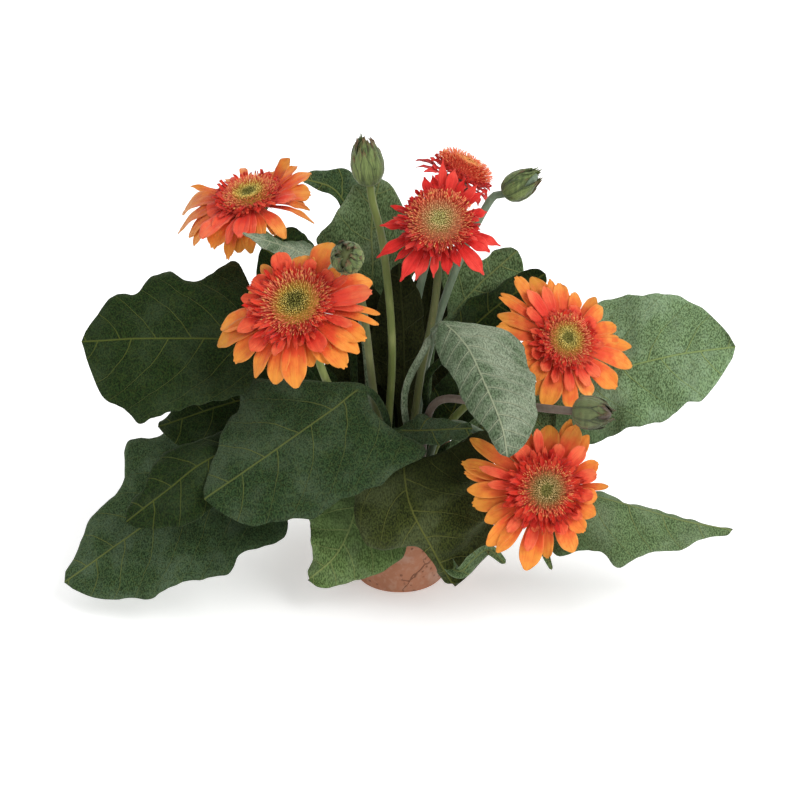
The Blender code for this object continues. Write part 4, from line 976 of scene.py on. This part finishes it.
def floret_dome(low, disc, seed, tall):
    """The plate, and threads set on it at turns of the golden angle.

    Thread i stands at the root of i over FLORETS of the radius, leans out by an
    angle that grows with the radius, and ends in a small knob.
    """
    draw = np.random.default_rng(seed)
    i = np.arange(FLORETS)
    ring = np.sqrt((i + 0.5) / FLORETS)
    angle = i * GOLDEN_ANGLE + draw.uniform(-0.02, 0.02, FLORETS)
    tone = draw.uniform(0.0, 1.0, FLORETS)
    outward = np.clip((ring - 0.30) / 0.70, 0, 1)
    lean = np.radians(4 + 76 * outward**1.1 + draw.uniform(-11, 11, FLORETS))
    length = disc * (0.05 + 0.16 * smooth_step(0.34, 0.80, ring)) * draw.uniform(0.70, 1.22, FLORETS)
    sideways = np.radians(draw.uniform(-17, 17, FLORETS))
    thick = 0.31 - 0.155 * smooth_step(0.25, 0.6, ring)
    t = np.array([0.0, 0.72, 0.86, 1.0])
    swell = np.array([1.1, 0.85, 1.75, 1.0])
    line_out = (ring * 0.635 * disc)[:, None] + length[:, None] * (t * np.sin(lean)[:, None])
    line_up = (low + dome_height(ring, tall))[:, None] + length[:, None] * (t * np.cos(lean)[:, None] + 0.12 * t**2)
    line_side = length[:, None] * np.sin(sideways)[:, None] * t
    around = np.arange(4) * math.pi / 2
    girth = (thick[:, None] * swell)[:, :, None]
    out = line_out[..., None] + girth * np.cos(around) * np.cos(lean)[:, None, None]
    up = line_up[..., None] - girth * np.cos(around) * np.sin(lean)[:, None, None]
    side = line_side[..., None] + girth * np.sin(around)
    threads = tubes(polar(out, angle[:, None, None], up, side), along=t[:, None], ring=ring[:, None, None],
                    tone=tone[:, None, None])
    share = np.linspace(1.0, 0.01, 16)
    profile = np.concatenate([[(0.50, 0.1), (0.68, 0.1), (0.70, 1.2)],
                              np.stack([0.67 * share, dome_height(share, tall)], axis=1)])
    angle = np.arange(PLATE_SIDES) * 2 * math.pi / PLATE_SIDES
    plate = tubes(polar(profile[:, 0, None] * disc, angle, low + profile[:, 1, None])[None], along=0.2,
                  ring=np.clip(profile[None, :, 0, None], 0, 1), tone=0.3)
    return joined(plate, threads)


# %% [markdown]
# ## Stems and cups
#
# A stem is a fleshy round tube with fine ridges. Under the rays it widens into a
# cup that is covered by two rows of narrow green bracts. Most of them are hidden
# from the front, but they are what shows from behind.

# %% Stem finish
def skin_finish(name, first, second, tint, ridge=0.0004):
    """Fleshy green with long ridges and brownish flecks; bracts get painted shade towards their edges."""
    material, tree, place = new_finish(name, 0.55, Sheen_Weight=0.12, Sheen_Roughness=0.5, Specular_IOR_Level=0.35)
    along_it, tone, across = values_of(tree, "along", "tone", "across")
    ribs = noise(put(tree, "CombineXYZ", X=across * 3.0, Y=along_it * 0.7, Z=tone * 41.0), 3.0, 3.0)
    stripes = noise(put(tree, "Mapping", Vector=place, Scale=(1.0, 1.0, 0.12)), 420.0, 3.0)
    mixed = noise(place, 30.0, 3.0) * 0.5 + (stripes * 0.3 + ribs * 0.35)
    colour = blend(ramp(mixed, 0.44, 0.74), first, second)
    # painted shade: each bract darker towards its edges
    colour = blend(ramp(abs(across), 0.45, 1.0) * 0.75, colour, darker(first, 0.45))
    colour = blend(ramp(along_it, 0.84, 1.0) * ramp(tone, 0.2, 0.7) * 0.9, colour, tint)
    colour = blend(ramp(noise(place, 260.0, 3.0), 0.60, 0.70) * 0.25, colour, tint)
    return finished(material, colour, stripes + ribs, ridge, 0.8)


skins = {
    "green": skin_finish("stem_green", (0.13, 0.17, 0.036), (0.27, 0.31, 0.10), (0.20, 0.15, 0.07)),
    "olive": skin_finish("stem_olive", (0.075, 0.09, 0.022), (0.16, 0.17, 0.06), (0.20, 0.14, 0.06)),
    "teal": skin_finish("stem_teal", (0.12, 0.175, 0.105), (0.23, 0.30, 0.20), (0.22, 0.22, 0.12)),
    "brown": skin_finish("stem_brown", (0.085, 0.060, 0.042), (0.17, 0.13, 0.10), (0.16, 0.08, 0.05)),
    "bud": skin_finish("bud_green", (0.045, 0.075, 0.016), (0.23, 0.30, 0.09), (0.17, 0.085, 0.035), 0.0008),
    # painted shade: a darker copy of the bud green, for a bud in the shade
    "shaded": skin_finish("bud_shaded", (0.030, 0.042, 0.010), (0.125, 0.155, 0.055), (0.13, 0.07, 0.03), 0.0010),
}


# %% Stem with cup
STEM_RADIUS = 2.9
STEM_STEPS, STEM_SIDES = 64, 20


def carried_sides(tangents):
    """A side vector for each direction, turned as little as possible from one to the next."""
    side, sides = np.array([1.0, 0.0, 0.0]), []
    for tangent in tangents:
        side = unit(side - side.dot(tangent) * tangent)
        sides.append(side)
    return np.array(sides)


def stem_tube(path, tip, axis, cup):
    """A round tube from the soil to tip, then the cup's circles along axis.

    Seven shallow ridges run up it: the radius times one plus 0.03 times the
    cosine of seven times the angle.
    """
    line = root_line(path, tip)
    at = np.linspace(0.0, 1.0, STEM_STEPS)
    points, tangents = along(line, at), directions(line, at)
    tangents[0] = UP
    tangents[-1] = axis
    cup = np.array(cup, float)
    points = np.concatenate([foot_of(path), points, np.asarray(tip) + cup[:, :1] * axis])
    tangents = np.concatenate([[UP], tangents, np.repeat(np.asarray(axis)[None], len(cup), 0)])
    sides = carried_sides(tangents)
    radii = np.concatenate([np.full(STEM_STEPS + 1, STEM_RADIUS), cup[:, 1]])[:, None, None]
    angle = (np.arange(STEM_SIDES) * 2 * math.pi / STEM_SIDES)[None, :, None]
    ridged = radii * (1 + 0.03 * np.cos(7 * angle))
    round_it = np.cos(angle) * sides[:, None] + np.sin(angle) * np.cross(tangents, sides)[:, None]
    return tubes((points[:, None] + ridged * round_it)[None], along=0.0, tone=0.5, across=0.0)


def bract_rows(profile, whorls, seed, curl, rows=10, columns=7):
    """Overlapping scales that follow a profile of (height, radius) pairs round an axis.

    Each whorl is (count, first height, last height, half-width, lift). A scale is
    widest a little under half-way up and has a keel along its middle. Its tip
    bends out with the sixth power of the way up, on some scales far more than on
    others, and curl sets how far.
    """
    draw = np.random.default_rng(seed)
    profile = np.array(profile, float)
    parts = []
    v, face = two_sided(columns)
    for level, (count, first, last, wide, lift) in enumerate(whorls):
        tone, size, bend, sway = draw.uniform(0.0, 1.0, (4, count, 1, 1))
        angle = (np.arange(count)[:, None, None] + 0.5 * (level % 2) + 0.3 * (tone - 0.5)) * 2 * math.pi / count
        t = np.linspace(0.0, 1.0, rows)[None, :, None]
        torn = 0.05 * np.sin(7.0 * v + 9.0 * sway) * t**4 - 0.10 * v**2 * t
        height = first + (last - first) * (0.86 + 0.18 * size) * (t + torn)
        radius = np.interp(height, profile[:, 0], profile[:, 1])
        shape = (0.30 + 0.70 * np.sin(math.pi * (0.18 + 0.72 * t)) ** 0.8) * (1 - 0.62 * smooth_step(0.62, 1.0, t))
        half = wide * (0.85 + 0.3 * sway) * shape
        away = lift + curl * (0.1 + 1.2 * bend**3) * t**6 + 0.45 * (1 - np.abs(v)) ** 1.5 + 0.25 * v**2 * t
        radius = radius + away + 0.30 * face * (1 - 0.5 * v**6)
        turn = half * v / np.maximum(radius, 3.0)
        rings = polar(radius, angle + turn + 0.35 * (sway - 0.5) * t, height)
        parts.append(tubes(rings, along=t, tone=tone, across=v))
    return joined(*parts)


# %% Whole bloom
CUP = ((0.8, 3.6), (1.8, 5.6), (3.0, 7.9), (4.4, 10.0), (6.0, 11.8), (7.6, 12.7), (8.6, 12.9))
CUP_OUTLINE = ((-12.0, 3.0), (-9.0, 3.4), (-7.0, 6.0), (-4.5, 10.0), (-2.5, 12.2), (-1.2, 13.6), (0.0, 15.0))


def bloom(number, centre, axis, disc, kind, path, droop=0.1, sag=0.0, stem="green", grow=(1.0, 0.2, 230.0),
          spread=1.0, tall=4.6, eye=None):
    """The five pieces of a bloom: stem with cup, outer rays, inner rays, curls and dome.

    spread widens the dome and the ring of curls round it.
    """
    axes = bloom_axes(axis)
    centre = np.array(centre, float)
    is_red = kind == "red"

    def set_piece(label, part, finish, node):
        points, quads, values = placed(part, centre, axes)
        return add_piece(f"bloom_{number}_{label}", points, quads, finish, f"bloom_{number}_{node}", values)

    tube = stem_tube([*path, centre - 24.0 * axes[2]], centre - 9.0 * axes[2], axes[2], CUP)
    points, quads, values = joined(tube, placed(bract_rows(
        CUP_OUTLINE, ((15, -9.0, -3.0, 2.6, 0.5), (21, -7.5, -1.6, 2.4, 0.2)), number, 0.6), centre, axes))
    add_piece(f"bloom_{number}_stem_flesh", points, quads, skins[stem], f"bloom_{number}_stem", values)

    set_piece("ray_silk", ray_layer(OUTER_PETALS[number], 0.0, 0.873 * disc, 0.10, droop, sag, number, is_red),
              petals["red" if is_red else "outer"], "rays")
    low = HUB_DEPTH + HUB_GAP
    set_piece("inner_silk", ray_layer(INNER_PETALS[number], low, 0.844 * disc, 0.16, 0.4 * droop, 0.3 * sag,
                                      50 + number, is_red),
              petals["red" if is_red else "coral"], "inner_rays")
    set_piece("curls", curl_layer(2 * low, spread * disc, 40 + number, grow), petals["red" if is_red else "deep"],
              "inner_rays")
    piece = set_piece("florets", floret_dome(2 * low, spread * disc, 80 + number, tall), florets[eye or kind], "disc")
    print(f"bloom {number}: {len(OUTER_PETALS[number])} outer rays, {len(piece.data.polygons)} floret faces")


bloom(1, (-110, 57, 284), (-0.21, -0.17, 0.96), 24, "orange", ((-28, 22), (-38, 50, 172), (-68, 70, 222)),
      0.3, 0.25, grow=(0.8, 0.2, 250.0), spread=1.14)
bloom(2, (-72, -56, 253), (-0.23, -0.59, 0.77), 29, "orange", ((-16, -10), (-25, -12, 138), (-52, -22, 172)),
      0.2, 0.15, grow=(0.9, 0.45, 215.0), spread=1.1)
bloom(3, (29, 2, 291), (-0.04, -0.64, 0.76), 25, "red", ((8, 4), (15, 10, 161), (25, 12, 218)),
      0.15, 0.1, stem="olive", grow=(0.7, 0.3, 240.0), spread=1.22)
bloom(4, (43, 77, 294), (0.47, 0.11, 0.87), 21, "red", ((2, 22), (6, 34, 154), (14, 48, 214)),
      0.55, 0.1, stem="teal", grow=(0.5, 0.0, 0.0), spread=1.3, tall=11.0, eye="flame")
bloom(5, (119, -15, 205), (0.34, -0.68, 0.65), 25, "orange", ((22, -8), (39, -8, 136), (81, -14, 180)),
      0.15, 0.1, grow=(0.85, 0.2, 230.0))
bloom(6, (105, -87, 122), (0.07, -0.88, 0.47), 26, "orange", ((20, -16), (34, -24, 140), (66, -48, 142)),
      0.1, 0.1, stem="teal", grow=(1.2, 0.2, 190.0), eye="ripe")

# %% [markdown]
# ## Buds
#
# A closed bud is a small egg wrapped in long green bracts like tiles, whose tips
# have dried brown. The egg itself is only the last circles of the stem. The
# bracts are laid over it in three whorls, each ending a little lower and standing
# a little further out.

# %% Buds
EGG = (0.0, 0.06, 0.24, 0.45, 0.66, 0.85, 1.0)


def bud(number, centre, axis, size, path, stem="olive", opening=0.22, wrap="bud"):
    """A bud: stem tube that ends in an egg, and three whorls of bracts round it."""
    axes = bloom_axes(axis)
    centre = np.array(centre, float)
    length, radius = size
    tip = centre - 0.5 * length * axes[2]
    at = np.linspace(0.0, 1.0, 9)[1:]
    shares = np.interp(at, EGG, (0.26, 0.62, 0.92, 0.96, 0.82, 0.52, 0.12))
    cup = np.stack([at * length * 0.96, 0.88 * shares * radius], axis=1)
    points, quads, values = stem_tube([*path, tip - 14.0 * axes[2]], tip, axes[2], cup)
    add_piece(f"bud_{number}_stem_flesh", points, quads, skins[stem], f"bud_{number}", values)
    heights = np.linspace(-0.5, 0.5, 24) * length
    egg = np.interp(np.linspace(0, 1, 24), EGG, (0.30, 0.66, 0.95, 1.0, 0.86, 0.58, opening))
    outline = np.stack([heights, 0.91 * radius * egg], axis=1)
    whorls = ((5, -0.40 * length, 0.52 * length, 0.66 * radius, 0.0),
              (6, -0.48 * length, 0.48 * length, 0.56 * radius, 0.30),
              (7, -0.50 * length, 0.30 * length, 0.46 * radius, 0.60))
    points, quads, values = placed(bract_rows(outline, whorls, 20 + number, 2.2, rows=18, columns=9), centre, axes)
    piece = add_piece(f"bud_{number}_bracts", points, quads, skins[wrap], f"bud_{number}", values)
    print(f"bud {number}: {len(piece.data.polygons)} faces")


bud(1, (-24, 22, 333), (-0.12, 0.0, 0.99), (36, 12.5), ((-10, 16), (-6, 18, 182), (-12, 22, 262)), "green")
bud(2, (89, 36, 309), (0.82, -0.1, 0.56), (30, 11.0), ((12, 26), (20, 36, 162), (40, 28, 240)), "teal", 0.42)
bud(3, (-37, -66, 297), (-0.04, -0.85, 0.5), (27, 12.0), ((-8, -6), (-19, -8, 154), (-27, -22, 236)))
# bud 4 is wrapped in the darker copy of the bud green, which is painted shade
bud(4, (138, -80, 181), (0.98, -0.2, 0.0), (29, 12.5), ((16, -30), (24, -29, 159), (60, -58, 178)), "brown",
    wrap="shaded")

# %% [markdown]
# ## Pot
#
# The pot is thrown terracotta: a tapered body under a plain band. A potter turns
# it, so the mesh is one closed profile carried round a circle.

# %% Terracotta
def terracotta_finish():
    """Fired clay: mottled pinkish brown, pale salts, dark pits and hairline cracks."""
    material, tree, place = new_finish("terracotta", 0.9, Specular_IOR_Level=0.2)
    fine = noise(place, 240.0, 4.0)
    colour = blend(ramp(noise(place, 16.0, 4.0), 0.30, 0.70), (0.28, 0.115, 0.062), (0.45, 0.20, 0.118))
    colour = blend(ramp(fine, 0.45, 0.75) * 0.4, colour, (0.52, 0.33, 0.24))
    colour = blend(ramp(noise(place, 48.0, 5.0), 0.56, 0.72) * 0.35, colour, (0.60, 0.46, 0.38))
    pit = 1.0 - ramp(put(tree, "TexVoronoi", Vector=place, Scale=170.0), 0.10, 0.24)
    colour = blend(pit * 0.55, colour, (0.12, 0.055, 0.035))
    push = put(tree, "VectorMath", settings={"operation": "SCALE"}, i0=noise(place, 60.0, 4.0), Scale=0.03)
    shifted = put(tree, "VectorMath", settings={"operation": "ADD"}, i0=place, i1=push)
    edge = put(tree, "TexVoronoi", 0, {"feature": "DISTANCE_TO_EDGE"}, Vector=shifted, Scale=24.0)
    crack = (1.0 - ramp(edge, 0.0, 0.022)) * ramp(noise(place, 20.0), 0.50, 0.62)
    colour = blend(crack * 0.7, colour, (0.09, 0.04, 0.026))
    return finished(material, colour, fine * 0.4 - (pit + crack), 0.0008, 0.8)


# %% Pot shape
POT_SIDES = 144


def round_off(profile, steps=5, cut=0.35):
    """Soften a closed profile.

    Each corner becomes a curve that starts a share cut of the way to its
    neighbours, and no more than 1.2 mm away.
    """
    profile = np.array(profile, float)
    before, after = np.roll(profile, 1, axis=0), np.roll(profile, -1, axis=0)
    near = profile + (before - profile) * np.minimum(cut, 1.2 / np.linalg.norm(before - profile, axis=1))[:, None]
    far = profile + (after - profile) * np.minimum(cut, 1.2 / np.linalg.norm(after - profile, axis=1))[:, None]
    t = np.linspace(0.0, 1.0, steps)[None, :, None]
    return ((1 - t)**2 * near[:, None] + 2 * t * (1 - t) * profile[:, None] + t**2 * far[:, None]).reshape(-1, 2)


def turned(name, profile, sides, finish, node, rough):
    """Carry a closed profile of (radius, height) round +Z; both ways of the grid close."""
    angle = (np.arange(sides) * 2 * math.pi / sides)[:, None]
    radius = profile[None, :, 0] + rough * np.sin(3 * angle + profile[None, :, 1] / 9) * np.cos(2 * angle)
    points = polar(radius, angle, profile[None, :, 1]).reshape(-1, 3)
    rows = len(profile)
    k, j = np.meshgrid(np.arange(sides), np.arange(rows), indexing="ij")
    k2, j2 = (k + 1) % sides, (j + 1) % rows
    quads = np.stack([k * rows + j, k2 * rows + j, k2 * rows + j2, k * rows + j2], axis=-1).reshape(-1, 4)
    return add_piece(name, points, quads, finish, node, {})


pot_profile = round_off([
    (6.0, 0.0), (34.0, 0.0), (35.0, 1.2), (40.0, 34.0), (46.0, 74.0), (51.3, 74.0), (52.5, 75.5), (52.5, 84.0),
    (52.5, 94.2), (50.7, 96.0), (47.3, 96.0), (46.5, 95.0), (46.0, 78.5), (39.0, 74.0), (34.0, 42.0),
    (29.0, 8.0), (6.0, 8.0)])
pot = turned("pot_clay", pot_profile, POT_SIDES, terracotta_finish(), "pot", 0.15)
print("pot faces:", len(pot.data.polygons))

# %% [markdown]
# ## Soil
#
# The soil is a dark crumbly bed just under the rim. The top of one plug carries
# the hollows and humps, and loose crumbs of a few faces each lie on it.

# %% Soil
def soil_finish():
    """Peat: dark brown with paler fibres and a coarse broken surface."""
    material, _, place = new_finish("peat", 0.95, Specular_IOR_Level=0.15)
    lumps, fibres = noise(place, 190.0, 5.0), noise(place, 700.0, 3.0)
    colour = blend(ramp(lumps, 0.35, 0.68), (0.018, 0.011, 0.007), (0.075, 0.046, 0.028))
    colour = blend(ramp(fibres, 0.62, 0.72) * 0.6, colour, (0.20, 0.14, 0.09))
    return finished(material, colour, lumps + fibres * 0.4, 0.0025, 1.0)


def soil_height(x, y):
    """Humps: two crossed sines with periods of 12 and 14 mm, and a slanting one of 15 mm."""
    return 0.8 * np.sin(x / 1.9 + 0.8 * np.sin(y / 3.1)) * np.sin(y / 2.3) + 0.5 * np.sin((x + y) / 3.4)


def make_soil(crumbs=420):
    """A closed plug whose top is the bed, and crumbs scattered over it."""
    draw = np.random.default_rng(7)
    sides = 96
    angle = np.arange(sides) * 2 * math.pi / sides
    profile = np.array([(3.0, 8.5), (28.3, 8.5), (38.3, 74.0), (45.2, 79.0), (45.4, 87.0),
                        *((r, SOIL_LEVEL) for r in np.linspace(44.0, 1.0, 30))])
    radius = profile[:, 0, None]
    bed = (profile[:, 1, None] >= SOIL_LEVEL) * soil_height(radius * np.cos(angle), radius * np.sin(angle))
    plug = tubes(polar(radius, angle, profile[:, 1, None] + bed)[None], lump=0.0)
    far, turn = 43.5 * np.sqrt(draw.uniform(0, 1, crumbs)), draw.uniform(0, 2 * math.pi, crumbs)
    x, y = far * np.cos(turn), far * np.sin(turn)
    middle = np.stack([x, y, SOIL_LEVEL + soil_height(x, y) + 0.1], axis=-1)[:, None, None]
    size = draw.uniform(0.7, 2.0, (crumbs, 1, 1))
    tall = np.array([-0.8, -0.35, 0.35, 0.8])[None, :, None] * size
    girth = np.array([0.45, 0.95, 0.95, 0.45])[None, :, None] * size * draw.uniform(0.75, 1.25, (crumbs, 4, 6))
    around = np.arange(6) * math.pi / 3
    lumps = tubes(middle + np.stack([girth * np.cos(around), girth * np.sin(around), tall + 0 * girth], axis=-1),
                  lump=1.0)
    points, quads, values = joined(plug, lumps)
    return add_piece("soil_bed", points, quads, soil_finish(), "soil", values)


print("soil faces:", len(make_soil().data.polygons))

# %% [markdown]
# ## Floor
#
# A plain white table top, wide enough to fill the view. It belongs to the studio
# and not to the part.

# %% Floor
def floor_finish():
    """Matt white that glows a little though it is no lamp, which keeps the shadows pale."""
    material, _, place = new_finish("floor_paint", 0.9, Specular_IOR_Level=0.1, Emission_Strength=0.36,
                                    Emission_Color=(1.0, 1.0, 1.0, 1.0))
    colour = blend(noise(place, 3.0), (0.90, 0.90, 0.90), (0.93, 0.93, 0.93))
    return finished(material, colour, noise(place, 400.0), 0.0002, 0.3)


mesh = bpy.data.meshes.new("floor")
mesh.from_pydata([(-3, -3, 0), (3, -3, 0), (3, 3, 0), (-3, 3, 0)], [], [(0, 1, 2, 3)])
mesh.materials.append(floor_finish())
floor = bpy.data.objects.new("floor", mesh)
bpy.context.scene.collection.objects.link(floor)

# %% [markdown]
# ## Count
#
# Growing detail must not make the plant bigger. The dressed pieces are counted
# here, with their triangles.

# %% Count the dressed pieces
grown = [item for item in bpy.data.objects if item.type == "MESH" and item.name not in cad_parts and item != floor]
print("dressed pieces:", len(grown), "with", sum(2 * len(item.data.polygons) for item in grown), "triangles")
